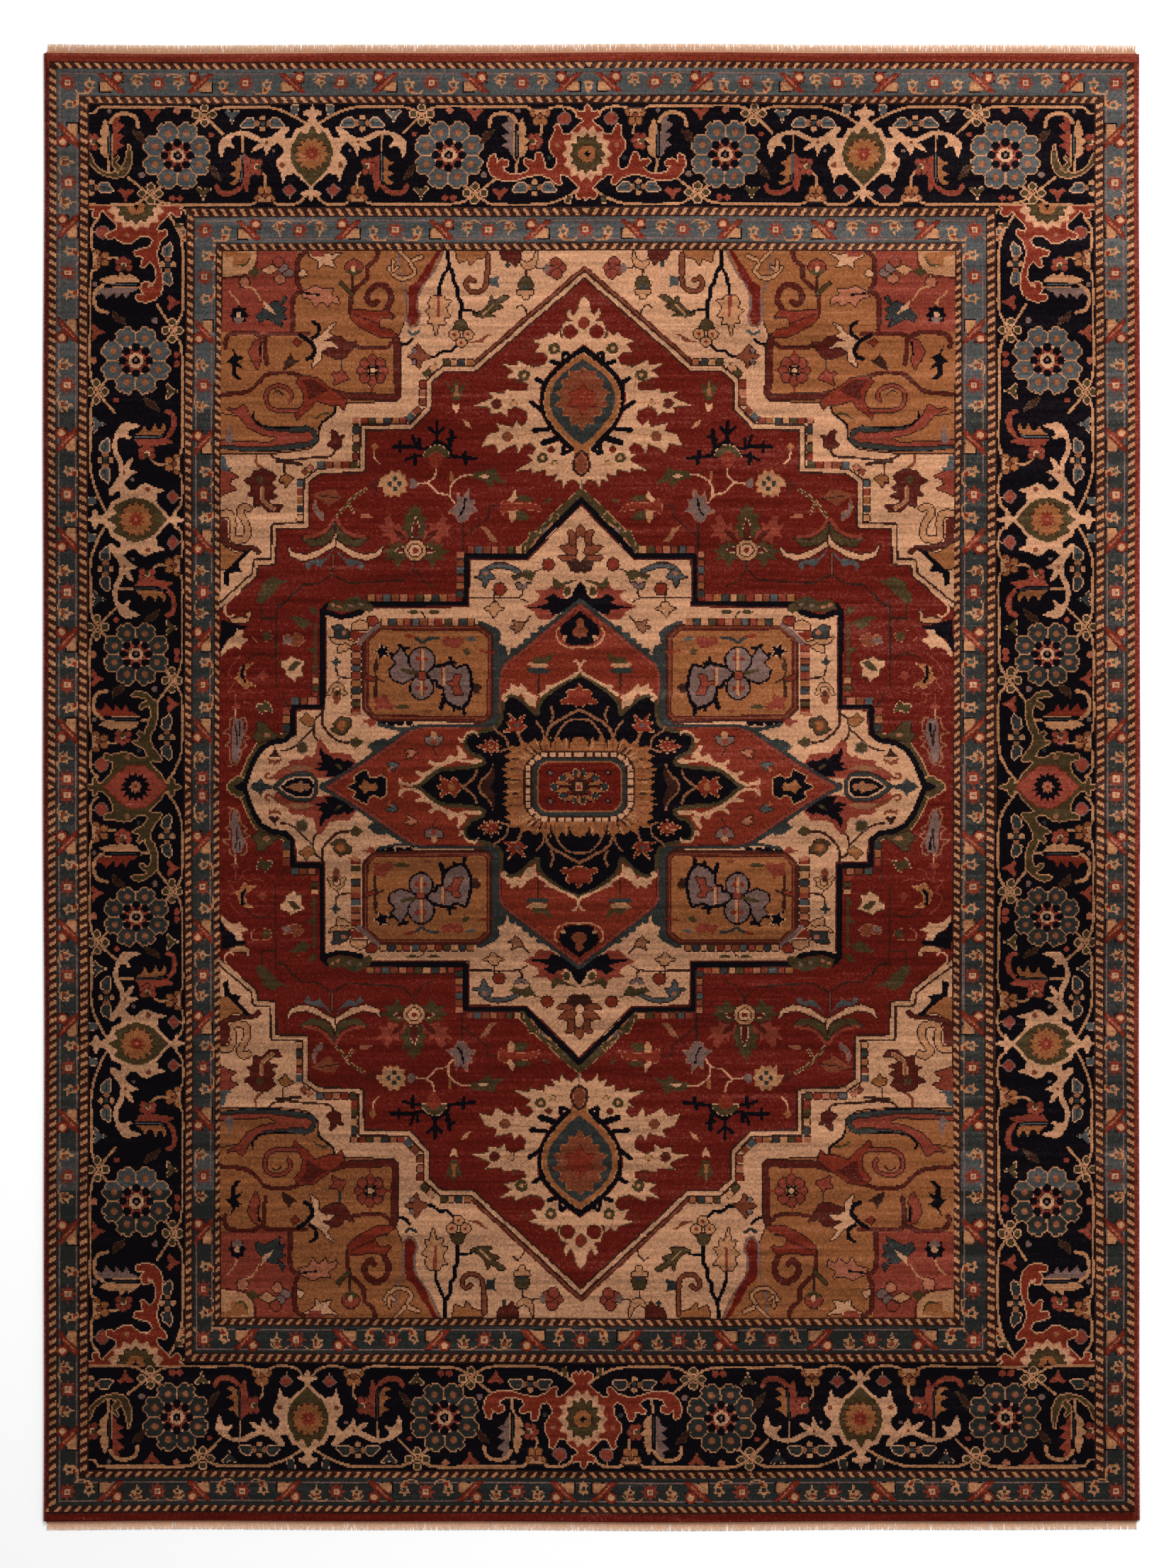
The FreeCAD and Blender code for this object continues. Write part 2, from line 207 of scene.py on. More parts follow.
IVORY_ARM = [(0, 12.2), (0.6, 11), (1.4, 10.9), (2.4, 10.4), (2.3, 9.7), (1.4, 9.5), (0.8, 8.8), (1.4, 7.8),
             (2.7, 6.6), (4.1, 6.3), (5.3, 3.9), (6.9, 3.8), (7, 4.6), (5.8, 5.9), (6, 6.8), (7.2, 6.6),
             (8.7, 5.5), (10, 4.5), (11.2, 4), (13, 4.1), (16, 5.6), (18, 5.9), (21.2, 5), (23, 3.8),
             (23.8, 2.5), (23.5, 0.2), (22.8, -1.2), (22.3, 0.3), (21.8, 1.6), (21, 2), (19.4, 1.3),
             (19.6, 2.2), (20.4, 2.8), (20.4, 3.8), (19.6, 4.5), (17, 4.6), (14.4, 3.3), (12.9, 2.9),
             (14.4, 1.9), (15.1, 0.6), (13.6, 1), (12.2, 1.8), (11.5, -0.6), (10.4, 1.5), (8.7, 3),
             (7.3, 1.5), (7.1, 0.4), (8.7, -1.4), (8.8, -2.8), (8, -4.3), (7.2, -7.4), (6.3, -5.4),
             (5, -5.2), (4.6, -4.8), (2.1, -6.9), (0.6, -8.4), (0.6, -9.2), (1.7, -9.4), (2.7, -9.9),
             (2.1, -10.5), (0.6, -10.2), (0.5, -11.8), (0, -12.3)]
OUTER_VINE = [(2.6, 10), (4.6, 11.7), (9, 11.8), (11, 10.6), (13.8, 10.6), (15.6, 12), (26, 12.1), (37, 12),
              (41.2, 10), (45.8, 5.5)]
OUTER_TURN = [(38.4, 7.6), (41.2, 10), (45, 11.8), (52, 12), (58, 11.9), (63, 10.2), (66.8, 8)]
INNER_VINE = [(1.4, -8.2), (5, -10.7), (10, -12.4), (22, -12.5), (25.4, -11.4), (27.6, -9.8), (30.6, -7.4)]
INNER_TURN = [(22, -5.6), (27.6, -9.8), (32, -12.2), (44, -12.4), (53, -12.4), (56.6, -10.6), (60, -12.4),
              (65, -12.2), (67.8, -9.6)]


def rosette(pen):
    """Eight scalloped petals round a ring of checks."""
    petal = [(-11, 3.4), (-21.5, 5.4), (-21.5, 7), (-15, 7.5), (-12, 8.4), (-4, 8.7), (0, 8), (4, 8.7),
             (12, 8.4), (15, 7.5), (21.5, 7), (21.5, 5.4), (11, 3.4)]
    for k in range(8):
        lean = 22.5 + 45 * k
        polar = [(r, math.radians(lean + a)) for a, r in petal]
        turned = [(r * math.cos(a), r * math.sin(a)) for r, a in polar]
        pen.area(turned, "blue", edge="tan")
        x, y = 6 * math.cos(math.radians(lean)), 6 * math.sin(math.radians(lean))
        pen.disc(x, y, 0.75, 0.75, "orange", edge="rust", wide=1)
    pen.disc(0, 0, 3.9, 3.9, "coral")
    for k in range(8):
        a = math.radians(45 * k)
        pen.disc(3.3 * math.cos(a), 3.3 * math.sin(a), 1.05, 1.05, "navy")
        pen.disc(3.6 * math.cos(a + 0.39), 3.6 * math.sin(a + 0.39), 0.3, 0.3, "ivory")
    pen.disc(0, 0, 1.9, 1.9, "ivory", edge="brown", wide=1)
    pen.disc(0, 0, 1.1, 1.1, "navy")
    pen.disc(0, 0, 0.4, 0.4, "mauve")


def quatrefoil(pen):
    """A little cross flower between two striped leaves."""
    for side in (-1, 1):
        pen.area([(side * 1.9, 0.4), (side * 2.6, 1.3), (side * 4.2, 1), (side * 5.4, -0.6),
                  (side * 4.8, -1), (side * 2.1, -0.8)], "blue", edge="ivory")
        pen.line([(side * 2.4, 0.2), (side * 4.4, 0)], "teal", 0.4, curved=False)
    for x, y, yarn in ((0, 1.35, "tan"), (0, -1.35, "tan"), (1.35, 0, "orange"), (-1.35, 0, "orange")):
        pen.disc(x, y, 0.75, 0.75, yarn)
    pen.disc(0, 0, 0.7, 0.7, "teal", edge="navy", wide=1)


def fan(pen):
    """A fan blossom standing on the vine."""
    for x, y in ((-1.7, -0.9), (1.7, -0.9), (-0.9, 1.2), (0.9, 1.2)):
        pen.disc(x, y, 0.8, 1.0, "gold", edge="brown", wide=1)
    pen.area([(-1.8, -1.8), (-0.9, 0.2), (0.9, 0.2), (1.8, -1.8)], "tan", edge="brown", wide=1)
    pen.disc(0, -0.2, 0.75, 0.6, "rust", edge="brown", wide=1)


def bud(pen):
    """A round blossom with a green throat, seen from its side."""
    for x, y in ((-0.5, 1.2), (-1.2, 0.1), (-0.6, -1.1), (0.7, -1.3), (0.8, 1.1)):
        pen.disc(x, y, 0.8, 0.8, "coral", edge="brown", wide=1)
    pen.disc(0.2, 0, 0.75, 0.75, "ivory")
    pen.disc(0.6, 0, 0.7, 0.6, "olive")


def tulip(pen, yarn, edge):
    """A tulip seen from its side."""
    pen.area([(0, -1.7), (0.5, -0.2), (2.1, 1.3), (0.9, 1.5), (0, 0.9), (-1.1, 1.7), (-1.9, 1.2),
              (-0.5, -0.2)], yarn, edge=edge, wide=1)


def crossing(pen):
    """Four leaflets where two vines cross."""
    for x, y in ((0, 1.9), (-2.1, 0.3), (2.1, 0.3), (0, -1.7)):
        pen.disc(x, y, 0.85, 0.75, "olive", edge="ivory")


def upright_feather(pen, yarn):
    """A tan feather and a coloured one on a navy stem, curling over at the tip."""
    pen.line([(0, -5), (0, -1)], "tan", 0.6)
    pen.area([(-0.4, -1), (-1.7, 0), (-2.6, 1.9), (-1.8, 2.4), (-3.2, 3.9), (-1.9, 4.4), (-2.2, 6),
              (-1.1, 9.2), (-0.4, 8.2), (0.1, 6)], "tan")
    pen.area([(0.6, -0.8), (1.7, 0.2), (2.2, 1.7), (3.9, 2.5), (2.2, 3.4), (3.9, 5), (2, 5.5), (4.1, 7.5),
              (2.4, 8.4), (2.8, 9.8), (1.4, 9.6), (0.7, 7)], yarn)
    pen.line([(0.2, 3.5), (0.1, 7), (1.2, 9.5), (3, 10.4), (5.4, 10.2), (6.7, 9.2), (7.2, 7.2)], "tan", 0.9)
    pen.line([(0.25, -0.8), (0.2, 4), (0.4, 7.4)], "navy", 1.0, edge="tan", wide=1, curved=False)
    pen.line([(0.25, 0), (0.2, 6)], "blue", 0.35)


def drooping_feather(pen):
    """The same turned over, in gold and coral."""
    pen.line([(0.1, 4.8), (0.1, 0.6)], "tan", 0.6)
    pen.area([(-0.3, 0.3), (-1.5, -1.4), (-3.1, -2.1), (-1.6, -2.8), (-1.5, -3.8), (-3.2, -4.8),
              (-1.7, -5.4), (-1.9, -6.2), (-3.4, -7), (-1.8, -7.5), (-0.4, -6.4)], "gold")
    pen.line([(0.5, -6.6), (-0.8, -8.4), (-2.6, -9.4), (-4.6, -9.5), (-5.9, -8.8), (-6.3, -7.8)], "coral",
             0.9, edge="rust", wide=1)
    pen.area([(0.6, 0.2), (1.1, -0.3), (2.2, -0.9), (1.8, -1.6), (2.9, -2.2), (2.3, -3.6), (2, -5.4),
              (1.7, -7.2), (1.4, -9.2), (0.8, -8), (0.2, -6.8)], "coral", edge="rust", wide=1)
    pen.line([(0.1, 0.4), (0.1, -4.6), (-0.4, -7.2)], "navy", 0.95)
    pen.line([(0.1, 0.2), (0.1, -4.4), (-0.3, -6.6)], "blue", 0.4)


def olive_palmette(pen):
    """Middle of the long sides: a coral eye with a dark star, held by slim olive leaves."""
    pen.area(OLIVE_ARM, "olive", edge="tan")
    pen.area([(0, 7.9), (0.8, 6.6), (1.8, 6), (2.2, 5), (3.4, 4.4), (3.8, 3.2), (4.8, 2.4), (5.2, 0.6),
              (4.9, -1.2), (5, -2.2), (3.9, -3.6), (3.4, -4.6), (2.2, -5.4), (1.4, -6.6), (0.4, -7.2),
              (0, -7.8)], "coral", edge="brick")
    pen.star(0, 0, 14, 3.8, 2.6, "navy", stretch=1.05)
    pen.star(0, 0, 8, 1.7, 1.2, "pink")
    pen.disc(0, 0, 0.4, 0.4, "brick")
    pen.disc(7.3, 2, 0.7, 0.7, "orange")


def red_palmette(pen):
    """Middle of the border: half is drawn, the mirror makes the rest."""
    pen.area(RED_ARM, "brick", edge="ivory")
    pen.star(0, 0.2, 14, 6.2, 5, "ivory", edge="pink", wide=1, stretch=1.15)
    pen.star(0, 0.2, 12, 4.4, 3.4, "olive", edge="brown", wide=1, stretch=1.15)
    pen.disc(0, 0.2, 2.2, 2.2, "gold", edge="brown", wide=1)
    pen.star(0, 0.2, 4, 1, 0.5, "navy")
    pen.disc(7.4, 2.4, 0.6, 0.6, "orange")


def ivory_palmette(pen):
    """A green oval with a rayed flower, held in ivory flames on both sides."""
    for flip in (1, -1):
        pen.area([(flip * x, y) for x, y in IVORY_ARM], "ivory")
    oval = [(0, 7.1), (0.7, 6.2), (1.3, 5), (1.9, 4.9), (2.7, 5.7), (3.5, 5.1), (4, 3.8), (4.9, 2.3),
            (5.3, 0.7), (5.2, -1.4), (4.7, -2.8), (3.7, -4.5), (1.9, -6.1), (0.6, -7.4), (0, -8)]
    whole = oval + [(-x, y) for x, y in reversed(oval)]
    pen.area(whole, "olive", edge="ivory", wide=3)
    pen.star(0, -0.1, 14, 4.4, 3.3, "gold", edge="brown", wide=1)
    pen.star(0, -0.1, 10, 2.1, 1.3, "brick")
    pen.disc(0, -0.1, 0.35, 0.35, "pink")
    for side in (-1, 1):
        pen.disc(side * 7.3, -2.9, 0.65, 0.65, "rust")
        pen.disc(side * 11.4, 2.9, 0.4, 0.4, "rust")
        pen.line([(side * 5.4, -11.4), (side * 5.5, -9.4)], "tan", 0.35, curved=False)
        pen.area([(side * 5.5, -7.9), (side * 7.1, -9), (side * 6, -10.4), (side * 5, -10.4),
                  (side * 4, -9.1)], "coral", edge="mauve")
        pen.area([(side * 3.4, 12), (side * 5.2, 12), (side * 5.4, 10), (side * 3.8, 9.8)], "blue",
                 edge="ivory", wide=1)
        pen.disc(side * 9.6, 0.8, 0.45, 0.45, "mauve")


def half_run(place, stretch, across, comb="mauve", corner=False):
    """From a red palmette at s = 0 to an ivory one at s = 68.5, all but the palmettes themselves.
    place(s, t) gives a pen whose origin is there; stretch and across scale the vines' lengths and depth."""
    vines = place(0, 0).scaled(stretch, across)
    for route in (OUTER_VINE, OUTER_TURN, INNER_VINE, INNER_TURN):
        vines.line(route, "tan", 0.62)

    def spot(s, t):
        return place(s * stretch, t * across)

    upright_feather(spot(17.3, 0), comb)
    flower = spot(34.3, 0)
    rosette(flower.scaled(0.88, 0.95) if comb == "brick" else flower)
    drooping_feather(spot(50.9, 0))
    crossing(spot(41.2, 10))
    crossing(spot(27.6, -9.8))
    stem = spot(12, 4)
    stem.line([(-0.3, 4.2), (-0.6, 1.6), (0.4, -0.4)], "tan", 0.6)
    if not corner:
        fan(spot(11.8, 9.6).scaled(1, -1))
    bud(spot(13, 3.4))
    fan(spot(56.8, -10))
    stem = spot(56, -5)
    stem.line([(0.8, -3.2), (0.9, -0.6), (-0.6, 1.2)], "tan", 0.6)
    bud(spot(54.4, -2.9))
    quatrefoil(spot(12.9, -8.2))
    quatrefoil(spot(56, 8))
    for s, t, yarn, edge in ((21.4, -10, "coral", "rust"), (28, 10, "coral", "rust"),
                             (41, -9.6, "olive", "ivory"), (48.2, 9.7, "blue", "ivory")):
        tulip(spot(s, t), yarn, edge)
    pendant = spot(5.8, 9)
    pendant.line([(0.1, 2.6), (0, 0.8)], "tan", 0.35, curved=False)
    pendant.disc(0, 0, 1.5, 1.35, "coral", edge="mauve")
    if comb != "brick":
        spot(4.3, -11.2).area([(-0.7, 0.9), (0.6, 0.9), (0.8, -1), (-0.4, -1.1)], "olive", edge="ivory",
                              wide=1)
    for s, t, yarn, r in ((25.4, -5, "mauve", 0.8), (43, 5.2, "coral", 0.7),
                          (9.4, -0.8, "teal", 0.6), (17.4, 11, "mauve", 0.6), (33, -10.8, "coral", 0.9),
                          (35, -10.8, "coral", 0.9), (34.2, 11.2, "pink", 0.9)):
        spot(s, t).disc(0, 0, r, r * 0.9, yarn)
    spot(25, 4.6).area([(-2, 1.6), (0.4, 1.2), (1.6, -1.6), (0, -1.2)], "brown", edge="olive", wide=1)
    spot(44, -4).area([(-1.8, 1.8), (0, 1), (1.6, -2.2), (-0.6, -1)], "brown", edge="olive", wide=1)


def head_border():
    """A quarter of the border along the head, with the corner leaf at its end."""
    def place(s, t):
        return Pen(s, 156.4 + t)

    def place_back(s, t):
        return Pen(137 - s, 156.4 + t, [(-1, 0), (0, 1)])

    half_run(place, 1, 1)
    half_run(place_back, 1, 1, "coral", corner=True)
    corner = place_back(0, 0)
    corner.leaf([(12, 0.4), (13.6, -2.8), (17, -4.9), (20.6, -4.2), (22.2, -1.2), (22.2, 2.6)],
                (1.2, 0.8, 0.7, 2, 1.5, 0.2), "olive", edge="tan")
    corner.leaf([(20, -3.8), (18.6, -2), (19.6, -0.4)], (1.4, 0.9, 0.5), "olive", edge="tan")
    corner.disc(20.4, -3.4, 0.5, 0.5, "orange")
    red_palmette(place(0, 0))
    ivory_palmette(place(68.5, 0.4))


def side_border():
    """A quarter of the border along the side."""
    def place(s, t):
        return Pen(112.8 + t, s, [(0, 1), (1, 0)])

    def place_back(s, t):
        return Pen(112.8 + t, 143.6 - s, [(0, 1), (-1, 0)])

    half_run(place, 65 / 68.5, 0.94, "brick")
    half_run(place_back, 78.6 / 68.5, 0.94)
    olive_palmette(place(0, 0))
    ivory_palmette(place(65, 0))
    red_palmette(place_back(0, 0))


def main_border():
    """The dark border, its sides first: the head runs through to the corner."""
    p = Pen()
    p.area([(0, 143.1), (100.4, 143.1), (100.4, 0), (124.8, 0), (124.8, 169.3), (0, 169.3)], "navy")
    side_border()
    p.area([(0, 144.2), (124.8, 144.2), (124.8, 169.3), (0, 169.3)], "navy")
    head_border()


# ------------------------ field, in centimetres from the middle of the rug
STEPS = [(0, 126), (26.8, 102.1), (34.4, 102.1), (38, 98.9), (38, 92.2), (42.4, 87.6), (54.4, 87.4),
         (54.4, 77), (65.3, 76.6), (68.5, 74.3), (68.5, 63.5), (76.7, 63.3), (76.9, 54.8), (81.4, 54.6),
         (81.8, 51.6), (91, 44)]
GOLD_EDGE = [(45.6, 132.4), (45, 125), (44.3, 123.6), (44.2, 116), (44.6, 113.6), (46, 110.4), (45.3, 108),
             (45.4, 94.8), (46.2, 94.1), (58.6, 93.6), (59.4, 92.2), (60.3, 93.1), (61.4, 93), (61.6, 91),
             (64.9, 88.4), (65.6, 86.6), (65.7, 84.2), (67.5, 82.4), (71, 81.8), (77, 81.2), (91, 81.2),
             (91, 132.4)]
PENDANT = [(0, 120.4), (1.2, 119), (1.7, 116.8), (2.6, 115.4), (3.6, 117.2), (4.2, 116.4), (3.8, 114.8),
           (2.8, 114.2), (4.8, 113.8), (5.6, 111.6), (5, 109.6), (6, 110.2), (6, 111.6), (7.2, 110.4),
           (8.8, 111.4), (9.2, 110.2), (12.9, 109), (10.6, 108.2), (12.2, 106), (9.8, 106.3), (8.6, 104.8),
           (9.4, 103.2), (12.2, 102.4), (13.6, 103), (16.2, 104.2), (16.4, 102.8), (20, 103.4), (17, 101.4),
           (19, 99.9), (16.2, 99.4), (13.4, 98.2), (13.8, 96.6), (16.2, 96.4), (19, 96.8), (19.4, 95.8),
           (23.6, 96.2), (22, 94.8), (26.8, 92.8), (22.6, 92.4), (22.8, 90.8), (20, 91.2), (18.6, 90.2),
           (18.4, 91.8), (16.4, 92.6), (13.8, 91.4), (13.4, 89.4), (15, 87.6), (16.3, 89.2), (17, 87.4),
           (21.2, 88.4), (20.4, 86.4), (23.4, 85.6), (24.8, 82.6), (21.6, 83.4), (20.6, 81), (18.4, 82.6),
           (16.4, 83.2), (15.8, 80.8), (14.6, 83), (12.8, 83.6), (11.4, 82.2), (12.2, 80.6), (13.4, 80.8),
           (12, 79.2), (16.4, 76.6), (12.2, 77.2), (12.2, 76.2), (8.8, 77), (8.8, 75.4), (6, 75.8),
           (6.8, 74), (4.9, 74.6), (4.5, 72.6), (3.6, 74), (1.8, 74.6), (0.4, 73.4), (0, 70.4)]
CHECK_YARNS = ["gold", "teal", "tan", "olive", "brick", "pink", "rust", "blue", "coral"]


def checks(pen, start, end, depth, first=0, length=2.0):
    """A run of coloured blocks on the left of the way from start to end, each edged in dark brown."""
    a, b = np.array(start, float), np.array(end, float)
    along = (b - a) / np.hypot(*(b - a))
    left = np.array([-along[1], along[0]]) * depth
    count = max(1, round(np.hypot(*(b - a)) / length))
    step = (b - a) / count
    for k in range(count):
        p, q = a + step * k + along * 0.2, a + step * (k + 1) - along * 0.2
        pen.area([p, q, q + left, p + left], CHECK_YARNS[(first + k) % len(CHECK_YARNS)], edge="brown",
                 wide=1)


def corner_band(p):
    """The ivory band that steps round a corner, with its coloured checks."""
    p.line(STEPS, "brown", 1.7, curved=False)
    p.area(STEPS + [(91, 132.4), (0, 132.4)], "ivory")
    p.line([(0, 127.7), (14.2, 115), (26.4, 103.9)], "deep_red", 1.2, curved=False)
    p.line([(0, 127.7), (14.2, 115), (26.4, 103.9)], "rust", 0.45, curved=False)
    p.line(STEPS, "brown", 1.9, curved=False)
    p.line(STEPS, "ivory", 0.85, curved=False)
    for k, (start, end) in enumerate((
        ((34.9, 102.9), (27, 102.9)), ((38.9, 99.6), (35.6, 102.5)), ((38.9, 92.8), (38.9, 99.2)),
        ((43, 88.6), (39.6, 91.8)), ((57.2, 88.3), (43.4, 88.3)), ((55.4, 79.1), (55.4, 88)),
        ((66, 77.4), (55.4, 77.4)), ((69.2, 75.4), (66.4, 77.4)), ((69.4, 64.3), (69.4, 74.8)),
    )):
        checks(p, end, start, 1.5, first=2 * k)


def corner_band_motifs(p):
    """Flowers, leaves and twigs on the ivory band."""
    # Blossoms and twigs near the head.
    for x, y in ((6, 127.8), (7.2, 129), (8.2, 127), (6.8, 126.2)):
        p.disc(x, y, 1.3, 1.2, "coral", edge="brown")
    p.disc(9.5, 127.6, 0.8, 1.2, "mauve")
    p.line([(10.4, 127.6), (13, 128)], "brown", 0.4)
    p.area([(12, 132), (13, 129.6), (14.4, 129), (16.4, 130), (15.6, 128.4), (14.5, 127.4), (12.6, 127.8),
            (11.8, 130)], "tan", edge="brown")
    p.line([(14.5, 127.4), (14.5, 125.4)], "brown", 0.5)
    p.area([(12.6, 123), (13.4, 125.2), (15.6, 125.2), (16.4, 123), (15.4, 122.4), (13.6, 122.4)], "olive",
           edge="brown")
    p.area([(12.6, 122.2), (12.8, 120.9), (13.7, 121), (13.9, 119.7), (15.1, 119.7), (15.4, 121),
            (16.3, 120.9), (16.6, 122.2)], "tan", edge="brown")
    p.disc(14.5, 122.8, 0.8, 0.7, "teal")
    p.line([(14, 115.4), (14.4, 117), (15.6, 118.2), (16.8, 117.6)], "brown", 0.45)
    p.area([(15.8, 132), (16, 130.4), (17.2, 128.2), (18.4, 129.4), (20.4, 130), (21, 132)], "deep_red",
           edge="brown")
    p.disc(19.2, 128.6, 0.6, 0.8, "teal")
    p.area([(24.4, 132), (24.6, 130.6), (27.2, 130), (28.4, 128.4), (29, 130), (31.4, 129.2), (32, 132)],
           "gold", edge="brown")
    p.line([(24.1, 131), (24.1, 126), (24.6, 123), (26.2, 121.8), (28.4, 122), (29.4, 123.6), (28.6, 125),
            (27.3, 124.4)], "rust", 0.8, edge="brown")
    p.area([(21, 125.8), (22.4, 125.3), (23.4, 125.2), (23.4, 123.3), (22.2, 123.2), (21, 122.6),
            (21.4, 124.2)], "blue")
    p.area([(18.4, 120.4), (20, 120.8), (22.4, 119), (23, 120.6), (23.6, 118.6), (25.6, 116.6), (27.4, 116),
            (25.4, 115.2), (22, 115.4), (23.4, 116.4), (20, 117.8), (21.6, 118.2)], "olive", edge="brown")
    p.line([(22.6, 118.2), (25, 115.9)], "tan", 0.35)
    p.line([(26.4, 116.4), (28.4, 117), (30.2, 116.9)], "navy", 0.6)
    p.line([(34, 132), (33.8, 128.4), (32.4, 126), (32.3, 123.9), (31.3, 122.6), (31.3, 120.2),
            (30.4, 118.8), (30.4, 114.4)], "navy", 1.0, curved=False)
    p.line([(33.9, 128), (35, 125.6), (35.9, 123), (36, 120.8)], "navy", 0.9, curved=False)
    p.area([(30.3, 114.6), (29.4, 114), (28.6, 111.8), (32.4, 111.8), (31.6, 114)], "olive", edge="brown")
    for x, y in ((28.6, 110.8), (32, 110.8), (30.3, 108.8)):
        p.disc(x, y, 1.25, 1.2, "tan", edge="brown")
        p.disc(x, y, 0.45, 0.5, "brick")
    p.line([(31.6, 107.8), (33, 106.4), (35, 106.5), (36.6, 105.2), (38, 105)], "navy", 0.8, curved=False)
    p.area([(22.4, 111), (24, 110.8), (25.4, 109.8), (28.4, 108.7), (25, 108.6), (24.2, 110)], "rust")
    spiky = [(35, 120.6), (37.6, 120.6), (38.6, 118.8), (38, 117.6), (39.4, 116.8), (37.9, 115.4),
             (38.6, 113.4), (37.4, 113.8), (36.6, 110.4), (35.8, 113.4), (34.2, 113.2), (34.6, 115),
             (33, 115.2), (34.4, 117.6), (32.8, 119.4), (34.4, 119.4)]
    p.area(spiky, "tan", edge="brown")
    p.line([(36.2, 120.4), (36, 115.4)], "coral", 0.8)
    p.area([(41, 108.2), (42.2, 105.8), (43.6, 105.2), (42, 104.4), (40.6, 102.2), (39.8, 104.2),
            (37.8, 105), (39.4, 106)], "rust", edge="brown")
    p.disc(41.9, 106.6, 0.6, 0.7, "mauve", edge="navy", wide=1)
    p.disc(41.9, 103.8, 0.6, 0.7, "mauve", edge="navy", wide=1)
    p.line([(42.4, 109.6), (43.6, 108.4), (45.4, 108)], "navy", 0.8)
    p.line([(40.8, 111.6), (42.2, 110.8), (43.4, 111.6)], "blue", 0.8)
    # Stems and blossoms down the side.
    p.area([(58.8, 85.4), (59.8, 84.4), (59.8, 82.6), (61.2, 82), (63.4, 83.2), (61.9, 84.6), (62.4, 86.8),
            (61.2, 86.4), (60.6, 85)], "deep_red", edge="brown")
    p.line([(61.2, 82), (62.6, 80.3), (68, 79.9), (73, 79.4), (76.4, 79.8), (78, 81)], "brown", 0.6)
    p.line([(70, 78.4), (73.6, 78.8), (76, 79)], "brown", 0.8)
    p.line([(74.4, 78.6), (74.2, 76.2)], "brown", 0.5)
    p.area([(71.8, 74.8), (73.6, 75.8), (75, 75.2), (75.4, 74), (74.2, 74), (73.8, 72.8), (72.8, 74)],
           "gold", edge="brown")
    p.line([(81.3, 81), (81.4, 78.8), (79.8, 77.4)], "rust", 0.7)
    p.area([(78, 76.6), (79.6, 77), (82, 76.4), (83, 75), (84.6, 74.4), (82.6, 73.4), (82.6, 72),
            (83.6, 71), (82, 70.6), (81.8, 68), (80, 68.6), (78, 66.8), (75.6, 66.8), (74.6, 68.2),
            (77, 68.2), (78.6, 69.6), (76, 70.6), (77.6, 71.4), (76.2, 72.8), (77.6, 73.4), (76.4, 75.4)],
           "deep_red", edge="brown")
    p.line([(79.8, 72.6), (79.6, 69.6), (77, 67.6)], "orange", 0.7, edge="tan", wide=1)
    p.disc(80.4, 74.6, 0.9, 0.9, "olive")
    p.line([(83.2, 67.6), (84.8, 68), (85.6, 66.6), (84.4, 64.8), (83.6, 62.4), (84.2, 60.4), (87.4, 60.4),
            (87.4, 64), (88.2, 66.2), (91, 66.4)], "tan", 1.4, edge="brown")
    p.area([(88.6, 59.6), (88.8, 65), (91, 65.6), (91, 60.2)], "deep_red")
    p.area([(82.6, 57.8), (84.4, 57.4), (87, 56.8), (91, 59.4), (91, 53.4), (89, 53)], "gold", edge="brown")
    p.line([(80.6, 57), (82.4, 58.2), (87, 58.4), (91, 60.2)], "deep_red", 0.8, edge="brown")
    p.area([(82.4, 57.8), (84.4, 57.4), (86.4, 55.2), (89.8, 52.4), (89.9, 49.4), (88.6, 48.8), (88.4, 52),
            (85.2, 52.6), (86, 54.2)], "navy")
    p.area([(86, 75.2), (88.2, 76.4), (91, 77.4), (91, 70.6), (89, 71.6), (86.6, 72.4), (88.4, 73.4),
            (88, 74.8)], "coral", edge="brown")
    p.area([(87.6, 77.4), (89, 77.6), (89.6, 80.2), (91, 81), (91, 77), (89, 76.6)], "blue")


